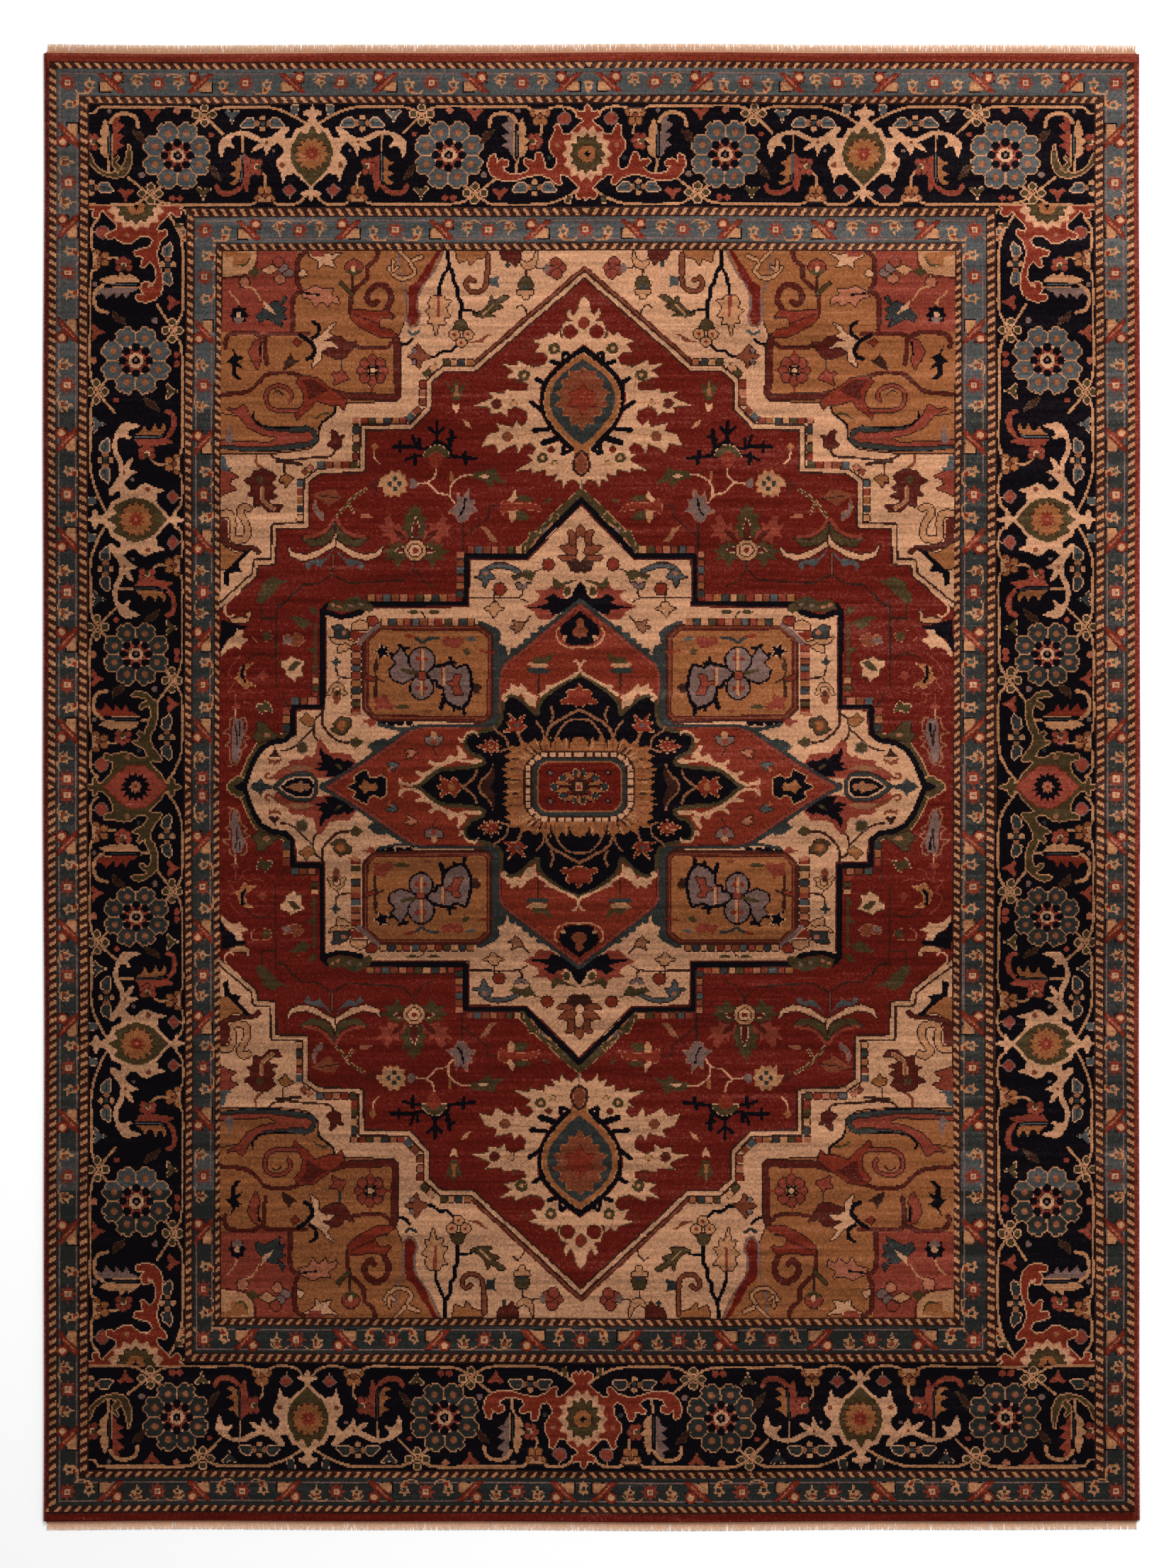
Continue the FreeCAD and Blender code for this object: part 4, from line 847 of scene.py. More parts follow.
def star_ground(p):
    """The medallion's ivory star, its dark line and its checks."""
    p.line([(0, 70.9), (5, 66.4), (10.6, 61), (14, 57.6)], "olive", 2.6, edge="tan", wide=1)
    p.line(STAR[13:], "olive", 3.1, edge="tan", curved=False)
    p.area([(5.4, 65.8), (6.6, 66.9), (7, 65.4), (8.6, 64.2), (9.6, 63.2), (9.9, 61.4), (10.8, 62),
            (12.4, 62.1), (12.8, 60.8), (13.4, 59.4), (13.8, 57), (12.2, 56.8), (8, 61.4)], "olive",
           edge="tan", wide=1)
    p.area([(6.8, 64.6), (8.4, 63), (8, 62.2), (6.8, 63.2)], "tan")
    p.blade(8.9, 62.2, -70, 2.4, 1.1, "mauve")
    p.line([(10.6, 60.4), (11.4, 59.6), (12.6, 57.4)], "pink", 0.5)
    p.area([(74.6, 12.6), (76.4, 13.2), (78.6, 15.6), (80.6, 16), (80.8, 14), (82, 12.6), (80.6, 11)],
           "olive", edge="brown")
    p.disc(78.2, 12.8, 0.9, 0.6, "orange")
    p.area([(83.4, 1.2), (84, 2), (85.4, 2.6), (86.4, 2.4), (86.8, 1.7), (87.9, 1.5), (88.1, 0.9),
            (88.8, 0.6), (88.8, 0), (83, 0)], "olive", edge="tan")
    for k, (start, end) in enumerate((
        ((14.4, 56.9), (28.2, 56.9)), ((29, 57.2), (29, 46.2)), ((30.8, 45.3), (53, 45.3)),
        ((65.1, 26.9), (65.1, 22)), ((65.4, 20.3), (72.2, 20.3)), ((72.5, 19.8), (72.5, 13.4)),
    )):
        checks(p, start, end, 1.6, first=3 * k + 2, length=1.95)
    p.area(STAR + [(0, 0)], "ivory")
    p.line(STAR, "navy", 1.35, curved=False)
    p.area([(83.6, 0), (84, 1), (85.2, 1.1), (86.2, 0.6), (87, 0)], "navy")
    inner_line = [(0, 68.4), (9.2, 59.3), (13.1, 55.3), (27.4, 55.2), (27.5, 43.9), (52, 43.7)]
    p.line(inner_line, "deep_red", 0.4, curved=False)
    p.line([(63.3, 41.4), (63.3, 19), (70.7, 18.8), (70.9, 13)], "deep_red", 0.4, curved=False)
    # Curled leaves that fill the shoulder of the star.
    p.area([(51.6, 44.4), (53.4, 45.6), (55.4, 46.6), (57.8, 46), (59, 45), (61, 45.8), (62.6, 45),
            (63.4, 43.6), (60.4, 42.6), (57, 42.8), (54.6, 43.4), (52.4, 42.4), (51.2, 43)], "olive")
    for x, y, yarn in ((54.6, 44.6, "mauve"), (57.2, 44.2, "mauve"), (60, 43.8, "pink"),
                       (61.6, 44.4, "pink"), (56, 45.6, "teal")):
        p.blade(x, y, 20, 1.4, 0.9, yarn)
    p.area([(62.4, 45.4), (63.9, 44.4), (64.8, 42.4), (63.4, 42.2)], "navy")


def ivory_blossoms(p):
    """What lies on the ivory star, first of all the lotus at its head."""
    p.area([(0, 63.6), (0.8, 62.9), (1.1, 61.4), (2.2, 62.2), (3.4, 62), (2.7, 60.9), (2.6, 58.9),
            (5.3, 58.4), (3.8, 57), (2.4, 56.2), (5.6, 55.9), (4.6, 55), (2.4, 54.9), (0, 54.2)], "rust",
           edge="brown")
    p.line([(1.1, 61.4), (1.2, 59.2), (2.6, 58.8)], "brown", 0.35)
    p.line([(0.8, 56), (2.4, 56.3)], "brown", 0.35)
    p.area([(0, 60.8), (0.9, 60.2), (1.1, 58.4), (0.5, 57), (1, 56.4), (1.1, 55.4), (0, 54.8)], "ivory",
           edge="brown")
    p.area([(1, 55.6), (3.4, 54.6), (2.6, 52.6), (1, 52), (0, 52.4), (0, 54.6)], "brown")
    for x, y in ((8, 54.1), (19.9, 48.2)):
        p.star(x, y, 8, 1.5, 1.2, "brick", edge="brown")
    for route, width in (
        ([(9, 53.4), (10.4, 52.8), (12, 52.2)], 0.35), ([(14.2, 48.4), (14.3, 47), (15, 46.1)], 0.5),
        ([(13, 45), (15, 46), (19, 46.2), (23, 46.1), (27.2, 46.1)], 0.4),
        ([(21, 47.4), (21.2, 46), (21, 45)], 0.4),
        ([(12.3, 41.8), (13, 40.8), (14.2, 39.9)], 0.45),
        ([(38.4, 41.2), (38.7, 42.2), (39.6, 42.7)], 0.35),
        ([(60.6, 29), (60.2, 27.6), (59, 26.9), (56.9, 26.8)], 0.45), ([(59.8, 26.7), (60.4, 25.6)], 0.4),
        ([(64, 19), (64, 16), (63, 14), (61, 12), (59.4, 11.2), (57.2, 11)], 0.65),
        ([(64.2, 18), (65.8, 16.7), (66.3, 14.6), (66, 12.4), (65, 11.2)], 0.6),
        ([(66.2, 14.4), (68.4, 12.6), (70.8, 10.2), (73, 9.2), (74.6, 9)], 0.5),
    ):
        p.line(route, "brown", width)
    p.area([(11, 52.2), (13.4, 53), (15, 52.2), (17.6, 51.4), (16.4, 50.2), (14.4, 51), (12.2, 50)],
           "olive")
    p.line([(15.4, 52.4), (17.4, 53.4), (20, 53.9), (22.4, 53.5), (23.6, 52.6)], "blue", 0.9, edge="brown")
    p.area([(21.9, 52), (23.6, 53.4), (24.6, 52.6), (25, 51.3), (26.4, 51), (24.4, 50.6), (24, 49),
            (23.5, 48.6), (22.8, 50.6), (21.4, 50.8)], "blue", edge="brown")
    p.disc(23.5, 52, 0.6, 0.5, "pink")
    p.area([(14.2, 48.2), (13, 48.8), (12.2, 49.8), (13.6, 49.7), (14.2, 48.9), (15.2, 49.8), (16.2, 49.6),
            (15.4, 48.4)], "mauve", edge="navy", wide=1)
    p.area([(20.4, 44.8), (21.8, 44.8), (22.4, 43.8), (23.8, 43.5), (22.2, 42.8), (21.4, 41.4),
            (20.4, 42.8), (18.6, 43.4), (20, 43.8)], "tan", edge="brown")
    p.area([(13.8, 40), (15, 40), (16.6, 40.8), (16, 39.2), (17.6, 39), (16.2, 38.6), (15.8, 37.6),
            (14.6, 38.4)], "orange", edge="brown")
    p.blade(36.2, 42.7, 0, 3.6, 0.8, "olive")
    p.blade(41.4, 42.7, 0, 3.6, 0.8, "olive")
    p.area([(57, 36.6), (57.6, 38.2), (59.6, 39.4), (61.8, 39.2), (61, 38), (61, 36.4), (59, 36.4)], "teal",
           edge="brown")
    p.disc(58.7, 37.7, 0.7, 0.6, "pink")
    p.area([(55.4, 35.1), (58, 36.1), (60.6, 36), (62.4, 36.5), (61.6, 35.4), (58.6, 34.6)], "tan",
           edge="brown")
    p.area([(56.8, 34.4), (58.4, 33.3), (60.2, 32.8), (60.2, 34.4), (58.4, 35)], "tan", edge="brown")
    p.star(60.6, 30.6, 4, 1.6, 0.7, "teal")
    p.line([(58.4, 23), (59, 23.4), (59.1, 24.6), (60.3, 25.2), (61.6, 24.5), (61.8, 23.4), (62.4, 22.9)],
           "tan", 0.7, edge="olive")
    p.area([(59.3, 22.4), (60, 23.8), (60.8, 23.8), (61.5, 22.4), (61.2, 21), (60.4, 20), (59.7, 21)],
           "rust")
    p.disc(60.4, 23, 0.6, 0.7, "brown")
    p.area([(56.8, 16.6), (58.2, 16.7), (59.4, 17.3), (60.2, 16.4), (61.2, 15.6), (60.9, 14.8),
            (61.9, 14.2), (61, 13.6), (59.6, 13), (58.2, 13.2), (57.8, 14.4), (56.9, 15)], "olive",
           edge="brown")
    p.area([(58.2, 15.8), (59.4, 16.2), (60.2, 15.4), (60, 14.4), (58.8, 14)], "gold", edge="rust")
    p.area([(53.6, 11), (55.2, 12.4), (56.9, 11.8), (56.9, 10.4), (55.4, 9.6)], "olive")
    p.area([(66, 16.4), (67.6, 17.4), (68.2, 18.2), (68.8, 17), (70, 16.6), (68.8, 15.8), (67.6, 15.1),
            (66.4, 15.4)], "gold", edge="olive")
    p.area([(74.6, 7.6), (75.4, 8.2), (76.2, 9.8), (77, 8.4), (78, 7.5), (77, 7.3), (75.6, 7.3)], "brown")
    p.area([(74.4, 7.2), (74.8, 5.8), (75.6, 5.9), (76.2, 5.3), (76.9, 5.9), (77.8, 5.6), (78, 7.1),
            (76.9, 6.6), (75.6, 6.6)], "rust")
    p.disc(76.2, 7, 0.55, 0.55, "ivory")
    p.area([(68.2, 10.6), (69.4, 10.9), (70.4, 10.4), (70.3, 8.8), (69, 8.4), (67.9, 9)], "olive",
           edge="mauve")
    # Coral flames and a dark branch that leave the lozenge.
    p.area([(63.2, 10.4), (64.6, 12), (65.6, 10.8), (65.8, 8.6), (66.8, 7.4), (68, 7.8), (69, 6.8),
            (71.6, 6.8), (72.8, 6.2), (72.4, 5.4), (74, 4.8), (75.2, 3.4), (76.6, 2.4), (76, 1.4),
            (73, 2.6), (60, 2), (57, 3), (55, 5.4), (57, 8.2), (60, 8.4), (62, 8.6)], "coral")
    p.area([(66, 4.4), (68.4, 5.4), (71.4, 5.4), (73.4, 4.2), (70, 4)], "orange")
    p.line([(73.2, 4.6), (75.2, 3.8), (76.8, 2.4), (78.2, 2), (78.4, 3), (77.6, 3.3)], "rust", 0.6)
    p.area([(55.6, 5.8), (57.6, 6.9), (58.4, 6.2), (60, 7.2), (61.2, 6.8), (62.2, 7.9), (63.4, 8.2),
            (64.3, 10), (64.8, 9), (64.4, 7.4), (63.8, 6.2), (65.2, 5.8), (64.2, 5), (66, 4.4), (64, 3.8),
            (62.6, 4), (63.4, 2.4), (60.6, 2.4), (58, 4)], "navy")
    p.blade(59.8, 5, 35, 2.6, 0.8, "olive")
    p.area([(47, 11), (48.4, 12), (50.6, 11.6), (52.8, 10), (51, 8.6), (49, 9.4)], "teal")
    p.area([(2.4, 44), (4.4, 47), (3.6, 49.4), (6, 49.8), (8, 48.2), (11.4, 47.9), (9.8, 46.8),
            (10.6, 45.4), (14, 43.9), (11.4, 42.6), (10, 40.8), (7, 41), (5.6, 42.4)], "coral")
    p.area([(0, 50), (1.4, 48.4), (2, 46.6), (3.4, 45.8), (5.6, 46.2), (6.6, 47.2), (8.9, 45.8),
            (7.4, 44.9), (10, 44.1), (13.4, 43.6), (9.4, 43.3), (7.6, 43.2), (7, 42), (5.4, 42.3), (4, 43),
            (2, 44), (0, 45)], "navy")
    p.area([(2.6, 48.8), (3.6, 48.6), (4.2, 47.4), (3.4, 46.4), (2.4, 46.8), (2.2, 48)], "olive")
    p.area([(0.4, 50.4), (2.6, 50.2), (5, 49.6), (6, 50.6), (6.8, 51), (7, 49), (5.6, 48), (3.8, 49)],
           "olive")


def panel(p):
    """A gold panel between the arms of the star, with its checks and its double flower."""
    p.area([(18.2, 31.2), (17.9, 33), (18.6, 34.6), (20.1, 35.2), (19.4, 37.4), (20.6, 38.8), (22.4, 39.6),
            (24, 40.4), (25.4, 40.4), (25.4, 39), (23, 37.4), (22.6, 16.6), (24, 15.4), (40, 15.4),
            (40, 14.8), (20.6, 14.8), (19.8, 17), (19.8, 28), (18.8, 30)], "teal")
    for x, y in ((23.4, 19), (22.8, 22.4), (23.2, 26), (22.8, 30)):
        p.disc(x, y, 0.8, 0.9, "teal")
    for k in range(4):
        p.disc(42.2 + 2.3 * k, 15.9, 1.1, 0.8, "navy")
    p.line([(40, 14.8), (44, 14.2), (49.6, 15.4)], "teal", 0.9)
    p.line(PANEL + [PANEL[0]], "brown", 2.0, curved=False)
    p.area(PANEL, "gold")
    p.line(PANEL + [PANEL[0]], "deep_red", 1.3, curved=False)
    p.line(PANEL + [PANEL[0]], "rust", 0.4, curved=False)
    p.line([(21.4, 33), (23.4, 33.1), (24.6, 33.4)], "brick", 0.6)
    p.line([(50.8, 26.4), (53, 27)], "brick", 0.9, edge="brown")
    checks(p, (26, 39.5), (49.6, 39.5), 1.6, first=0, length=1.95)
    checks(p, (54.5, 35), (54.5, 17.8), 2.2, first=4, length=1.75)
    p.line([(50, 39.6), (52.4, 37.6), (55, 35.2)], "mauve", 1.1)
    p.area([(50, 40.4), (50.6, 41.4), (52.8, 41.4), (53, 39.6), (51.4, 39.4)], "brick", edge="brown")
    p.area([(52.8, 38.5), (52.8, 40), (54.6, 40.8), (56.6, 39.8), (56.8, 38.4)], "tan", edge="brown")
    p.area([(53.4, 37.8), (56.8, 38), (57, 36.2), (55.6, 35.8), (54, 37)], "brick")
    p.area([(50.2, 16), (51.6, 16.8), (54.2, 16), (52.4, 15.6), (52, 14.8), (50.8, 15.4)], "coral")
    p.area([(54.2, 18.6), (56, 18.6), (57.6, 17.6), (55.4, 17.2)], "pink")
    # Small leaves on the gold.
    p.blade(27, 36.2, 10, 2.6, 0.9, "blue")
    p.area([(28.8, 36), (30, 36.6), (31.4, 36), (33.4, 36.6), (34.2, 35.2), (32, 34.4), (30, 34.2)],
           "coral", edge="brick", wide=1)
    p.area([(26.9, 32.6), (28, 34), (29.2, 33.6), (28.4, 32.2)], "olive")
    p.line([(35, 36.4), (37.6, 36.2), (39, 35.3), (40.2, 36.2), (41.4, 36.6)], "teal", 0.7)
    p.blade(42.2, 36.8, 12, 3.2, 1.0, "brick")
    p.area([(24, 24.6), (25, 25.5), (26.2, 25.4), (26.2, 23), (25, 23)], "brown")
    p.blade(44, 19.6, 0, 4.6, 1.2, "olive")
    p.blade(37.6, 18.6, 0, 2.6, 0.8, "rust")
    p.star(49, 33.2, 5, 2.1, 1.0, "navy", edge="ivory", wide=1)
    p.line([(48.6, 25.8), (50.4, 27), (50.8, 29.4), (50.2, 31.6)], "brown", 0.55)
    p.blade(50.5, 29.6, 90, 3.2, 1.2, "brown")
    p.line([(50.3, 26.4), (50.7, 24), (50.6, 21.4)], "brown", 0.8)
    p.area([(46.2, 20), (47.4, 20.8), (48.2, 22.6), (49.4, 21.8), (51, 22), (50.4, 20.2), (50.8, 19),
            (48.6, 19.6), (46.6, 18.8)], "coral", edge="brick", wide=1)
    # Double flower.
    bell = [(28.2, 29.6), (30.8, 28.8), (32.3, 29.8), (36, 29), (37.6, 27.9), (37, 26.8), (35.2, 26.2),
            (35, 25), (33.6, 24.8), (33.2, 22), (31.6, 20.4), (29.2, 19.6), (27.8, 21.2), (27, 24),
            (27.4, 27.4)]
    p.line(bell + [bell[0]], "navy", 1.5)
    for route, width in (([(31.8, 29.6), (32.1, 31.6)], 0.8), ([(30.6, 30.3), (32.6, 30.6)], 0.7),
                         ([(28.8, 20), (28.5, 18)], 1.0),
                         ([(31.2, 20.4), (31, 18.9)], 0.9), ([(33.4, 22), (34.3, 19.4)], 1.2),
                         ([(43.6, 33.4), (44.8, 34.8)], 0.9),
                         ([(42.6, 34), (44.4, 34)], 0.8), ([(45.8, 32.2), (46.9, 32.6)], 0.9)):
        p.line(route, "navy", width)
    p.area([(42, 29.4), (43, 32), (44.4, 34), (45.4, 32.6), (46.6, 31.6), (45.4, 30.4), (47, 28.6),
            (46.6, 26.6), (44, 25.6), (41.4, 26.8), (40.4, 28)], "mauve", edge="navy", wide=3)
    for y, r in ((31, 3.0), (24.4, 2.7)):
        p.disc(39.2, y, r, r, "mauve", edge="navy", wide=3)
    p.area(bell, "mauve")
    p.line([(40.6, 27.8), (44, 28.6)], "olive", 0.9)
    p.area([(29.4, 27.4), (31.2, 27.4), (31.6, 26), (33.2, 25.6), (31.4, 24.6), (31, 22.8), (28.8, 22.6),
            (29.8, 24.6), (30.2, 25.8)], "coral", edge="brown")
    for route in ([(39.1, 33.6), (39.1, 28)], [(39.2, 26.4), (39.2, 22.8)], [(33.7, 28.9), (33.7, 25.2)]):
        p.line(route, "tan", 0.7, edge="brick", wide=1)
    for x, y in ((38.2, 31.4), (40.2, 31.4), (38.3, 24.3), (40.3, 24.3)):
        p.disc(x, y, 0.6, 0.6, "brick")
    p.area([(38.4, 28), (40, 28), (40, 26.6), (38.4, 26.6)], "coral", edge="brown")


def lozenge(p):
    """The brick lozenge, its dark lobes and its little blossoms."""
    p.area(LOZENGE + [(0, 0)], "brick")
    grey = [(0, 45.2), (4, 42.2), (10, 37.5), (15.8, 33), (18.4, 30.9)]
    p.line(grey, "teal", 1.3)
    for x, y in ((9.6, 38.6), (11.6, 37), (13.2, 35.6), (14.6, 34.4), (16.4, 33.4)):
        p.disc(x, y, 0.9, 0.8, "teal")
    p.line([(41, 14.8), (46, 11.9), (50, 9), (54, 6), (58, 3.3), (62, 1.2), (64, 0.4)], "teal", 1.2)
    p.line(LOZENGE, "coral", 0.8, edge="deep_red", wide=1, curved=False)
    # Dark lobe at the top, with its tan scroll.
    p.area([(0, 43), (2.6, 41), (4.4, 39.6), (4.9, 38.2), (4.6, 36.8), (3.4, 35.2), (1.4, 34.6), (0, 34.8)],
           "navy")
    p.line([(0, 34.2), (2.6, 34.1), (4.6, 35), (5.9, 36.8), (5.8, 38.2), (5.2, 38.8)], "tan", 0.45)
    p.area([(3, 36.8), (3.6, 35.9), (4.6, 36.2), (4.2, 37)], "tan")
    p.area([(0, 41.4), (1, 40.6), (0.9, 39.2), (2, 38.2), (1.6, 36.8), (0, 36.4)], "rust")
    # Dark branches at the side.
    p.area([(47.8, 0), (48, 2), (49.4, 2.8), (50.8, 2), (52.2, 2.4), (52.8, 4.2), (54.2, 3.6), (56, 2.6),
            (55.4, 1.2), (57.6, 0)], "navy", edge="tan")
    p.area([(50, 0), (50.6, 1), (52, 0.8), (53.4, 1.8), (54, 0.6), (55, 0)], "gold")
    # Two little blossoms on their stems.
    p.line([(10, 29), (10, 26), (10, 23.2)], "brown", 0.55)
    p.area([(7, 28.7), (9, 29), (10, 29.6), (11, 29), (13.4, 29.1), (12.4, 27.8), (8, 27.8)], "teal")
    p.area([(7.6, 29.6), (8.8, 30.6), (11.6, 30.6), (13.2, 30.2), (11.6, 29), (9, 29)], "tan")
    p.area([(6.4, 33), (7.6, 32.4), (8.8, 31.4), (10, 32), (11.4, 31.4), (11.8, 30.2), (8.4, 30.2),
            (7.2, 31)], "olive")
    p.line([(36.4, 10.4), (36, 9), (35.2, 7.8)], "brown", 0.35)
    p.area([(33.7, 12.6), (35, 12.4), (36, 13.8), (37, 12.4), (38.2, 12.4), (38, 11), (36.6, 10.2),
            (35, 10.4), (34, 11.2)], "mauve", edge="brown")
    p.disc(36, 12.9, 0.8, 0.9, "tan")
    p.disc(36.1, 11.1, 0.7, 0.8, "coral")
    p.area([(40, 8.6), (41.6, 9.4), (43.4, 8.8), (42, 8.2), (43, 7), (41.4, 7.6)], "pink", edge="brown")
    p.area([(44.8, 5.6), (46, 6.2), (48, 5.6), (46.6, 5), (46, 4)], "blue", edge="brown")
    p.line([(46.2, 4.8), (47.2, 4.4), (46.9, 3.6)], "pink", 0.4)
    p.line([(44, 0), (44.6, 1.2), (43.8, 2.4)], "pink", 0.4)


def medallion_rosette(p):
    """The dark rosette: ivory flames round it, tendrils on it, a gold ring inside."""
    p.area(ROSETTE + [(0, 0)], "navy")
    p.line(ROSETTE, "olive", 1.0)
    flames = (
        [(2, 30.8), (1, 30.5), (0.3, 29.4), (0.5, 28.3), (2, 27.6), (4.4, 26.2), (6.4, 25.2), (8.4, 24.9),
         (8.2, 23.9), (10, 23), (9.6, 22), (7, 24), (4, 25.8), (0.8, 27.2), (0, 28), (0, 30), (0.8, 31.2)],
        [(10.6, 19), (10.7, 21), (10, 22.3), (11.6, 22.8), (12.8, 23.6), (13.4, 24.4), (14.6, 25.5),
         (14.9, 24.5), (16, 24.9), (17, 25.6), (16.9, 24.3), (18.2, 24), (17.8, 23.3), (19.1, 22.7),
         (19.3, 21.6), (18.4, 20.9), (17.6, 21.4), (18.2, 22.2), (17, 22.9), (15.2, 22.4), (14.4, 23),
         (13.7, 22), (13.3, 20.8), (12.6, 20), (11.4, 19.9)],
        [(24.9, 12.4), (25, 13.5), (26, 14.1), (27.6, 13.8), (28.4, 12.9), (28.8, 11.8), (30, 12.3),
         (29.6, 10.9), (28.6, 10.9), (28.4, 12), (27.6, 13.1), (26, 13.4)],
        [(28, 8), (28.8, 9), (29.9, 10.4), (30.5, 10), (29.8, 8.4), (30.4, 7.2), (32, 8.2), (32.5, 7.6),
         (33, 6.6), (34.4, 5.9), (35.8, 6), (37, 6.8), (37.4, 5.9), (36, 5.2), (36.8, 4.3), (38.4, 3.6),
         (40.6, 3.9), (40.6, 3.2), (39, 2.6), (39.8, 1.6), (41.6, 0.9), (43.4, 1.1), (44.2, 1.9),
         (44.8, 2.6), (44.8, 1), (43.4, 0.3), (41.2, 0.2), (39.4, 1), (37.6, 2.7), (35.6, 4.2), (33.4, 5.2),
         (31, 6.2), (27.8, 7.3)],
        [(24, 6.5), (25.2, 7), (28, 6.7), (30.6, 6.9), (29, 6), (26, 5.8), (24.4, 5.9)],
    )
    for outline in flames:
        p.area(outline, "ivory")
    # Orange tendrils on the dark ground.
    for route, width in (
        ([(0, 18.9), (2, 18), (4, 16.8), (5.8, 15.9), (7.4, 14.6), (8.2, 12.6)], 0.7),
        ([(0, 16.6), (2.6, 16.2), (4.2, 14.8), (5.6, 12.6), (6.4, 10.6)], 0.5),
        ([(10.6, 16), (9.2, 14.2), (8.6, 12)], 0.5), ([(14.2, 10.8), (14.8, 12.4), (15.3, 13.6)], 0.7),
        ([(17.6, 9.6), (18, 11.8), (19.6, 13.2), (20.8, 14), (21.1, 15)], 0.5),
        ([(21.4, 5.5), (21.6, 4.4), (22.8, 2.8), (24.2, 1.6), (24.8, 0)], 0.6),
        ([(25.4, 4), (26, 2.4), (27.6, 0.9), (29, 0)], 0.6), ([(7, 19.6), (6.4, 17.6), (7, 16)], 0.6),
        ([(19.4, 8.8), (17.8, 9.4), (16, 9.4)], 0.5),
    ):
        p.line(route, "orange", width)
    p.area([(21.4, 5.6), (21.8, 3.8), (24, 1), (24.6, 0), (22, 0), (21, 2), (20.8, 4)], "brown")
    p.area([(0, 25.4), (0.9, 23.8), (2.4, 23.9), (3.1, 23.2), (2.7, 22), (4.6, 21.2), (4.2, 20.2),
            (2, 20.6), (0.9, 19.8), (0, 20)], "brick", edge="tan", wide=1)
    p.area([(13.4, 17.8), (14.6, 17), (15.4, 15.9), (17.7, 18.4), (16.6, 16.2), (18.2, 15.8), (16.8, 14.8),
            (18.9, 13.6), (16.4, 13.8), (14.4, 13.6), (13, 15.2), (14.4, 15.4)], "brick", edge="tan",
           wide=1)
    p.disc(15.6, 15.2, 0.55, 0.5, "blue")
    p.star(21.8, 10.1, 8, 2.7, 1.2, "brick", edge="tan", wide=1, stretch=0.8)
    p.blade(23.4, 10, 0, 4, 1, "brick", edge="tan")
    p.area([(29, 0), (30, 1.2), (31, 2.6), (32, 1.2), (34.6, 2.7), (34, 0.8), (35.4, 0)], "brick",
           edge="tan", wide=1)
    p.disc(31.6, 0.3, 0.8, 0.7, "gold")
    # Serrated gold ring round the ivory blocks.
    teeth = [(0, 12.4), (1.2, 12.2), (2.2, 10.9), (3.4, 12.2), (4.4, 11), (5.2, 12.6), (6.2, 11.2),
             (7, 10.6), (8.4, 12.8), (9.6, 11), (11, 12), (12.6, 10.6), (14, 11.4), (15, 9.8), (16.6, 10.2),
             (17.6, 9.8), (16.8, 8.6), (18.6, 7.6), (17, 6.6), (18.4, 5.6), (17.6, 4.8), (19.6, 4.4),
             (17.6, 3.6), (19, 2.8), (17.2, 2), (18.8, 1.2), (17.4, 0.4), (18, 0)]
    p.area(teeth + [(0, 0)], "gold")
    for k in range(34):
        a = math.radians(1.5 + 2.6 * k)
        x, y = 15.8 * math.cos(a) ** 0.6, 10.6 * math.sin(a) ** 0.6
        turn = math.degrees(math.atan2(y - 5, x - 7)) if x > 9 and y > 6 else (0 if y < 8 else 90)
        p.blade(x + 0.6 * math.cos(5 * k), y + 0.5 * math.sin(5 * k), turn, 3.2, 0.5,
                ("tan", "brown", "rust", "orange")[k % 4])


def cartouche(p):
    """The small cartouche in the middle: ivory blocks, a grey line and a red ground."""
    p.area(CARTOUCHE + [(0, 0)], "brown")
    blocks = [(0.6, 8.1, 0), (2.6, 8.1, 0), (4.5, 8.1, 0), (6.5, 8.1, 0), (8.5, 8, 0), (10.4, 7.3, -40),
              (11.8, 6.1, -62), (12.7, 4.5, -85), (12.8, 2.8, -90), (12.8, 1, -90)]
    for x, y, turn in blocks:
        a = math.radians(turn)
        across = np.array([math.cos(a), math.sin(a)])
        up = np.array([-across[1], across[0]])
        mid = np.array([x, y]) - up * 0.1
        half = 0.75 if turn in (-40, -62) else 0.7
        p.area([mid - across * half - up * 0.55, mid + across * half - up * 0.55,
                mid + across * half + up * 0.6, mid - across * half + up * 0.6], "ivory")
    p.area([(0, 7.2), (8.6, 7.2), (10.2, 6.4), (11.3, 5), (11.5, 3), (11.5, 0), (0, 0)], "teal")
    p.area([(0, 6.35), (8, 6.35), (9.6, 5.5), (10.5, 4), (10.6, 0), (0, 0)], "gold")
    p.area([(0, 5.9), (8, 5.9), (9.4, 5.1), (10.1, 3.8), (10.1, 0), (0, 0)], "red")
    p.disc(0, 0, 2.6, 2.1, "brown")
    for x, y, wide, tall in ((6.3, 0, 0.9, 0.9), (4, 2.2, 1, 0.7), (0.9, 3.5, 0.6, 0.9)):
        p.disc(x, y, wide, tall, "teal", edge="tan", wide=1)
    for x, y, angle, length, wide in ((4.2, 0.9, 8, 4.5, 1.1), (2.5, 2.8, 32, 3.2, 1.2),
                                      (0, 3.2, 90, 2.3, 1.2)):
        p.blade(x, y, angle, length, wide, "gold", edge="navy")
    p.area([(0, 1), (0.95, 1), (0.95, 0), (0, 0)], "tan")
    p.area([(0, 0.6), (0.55, 0.6), (0.55, 0), (0, 0)], "coral")
    p.disc(7.1, 3.5, 0.45, 0.45, "mauve", edge="navy")


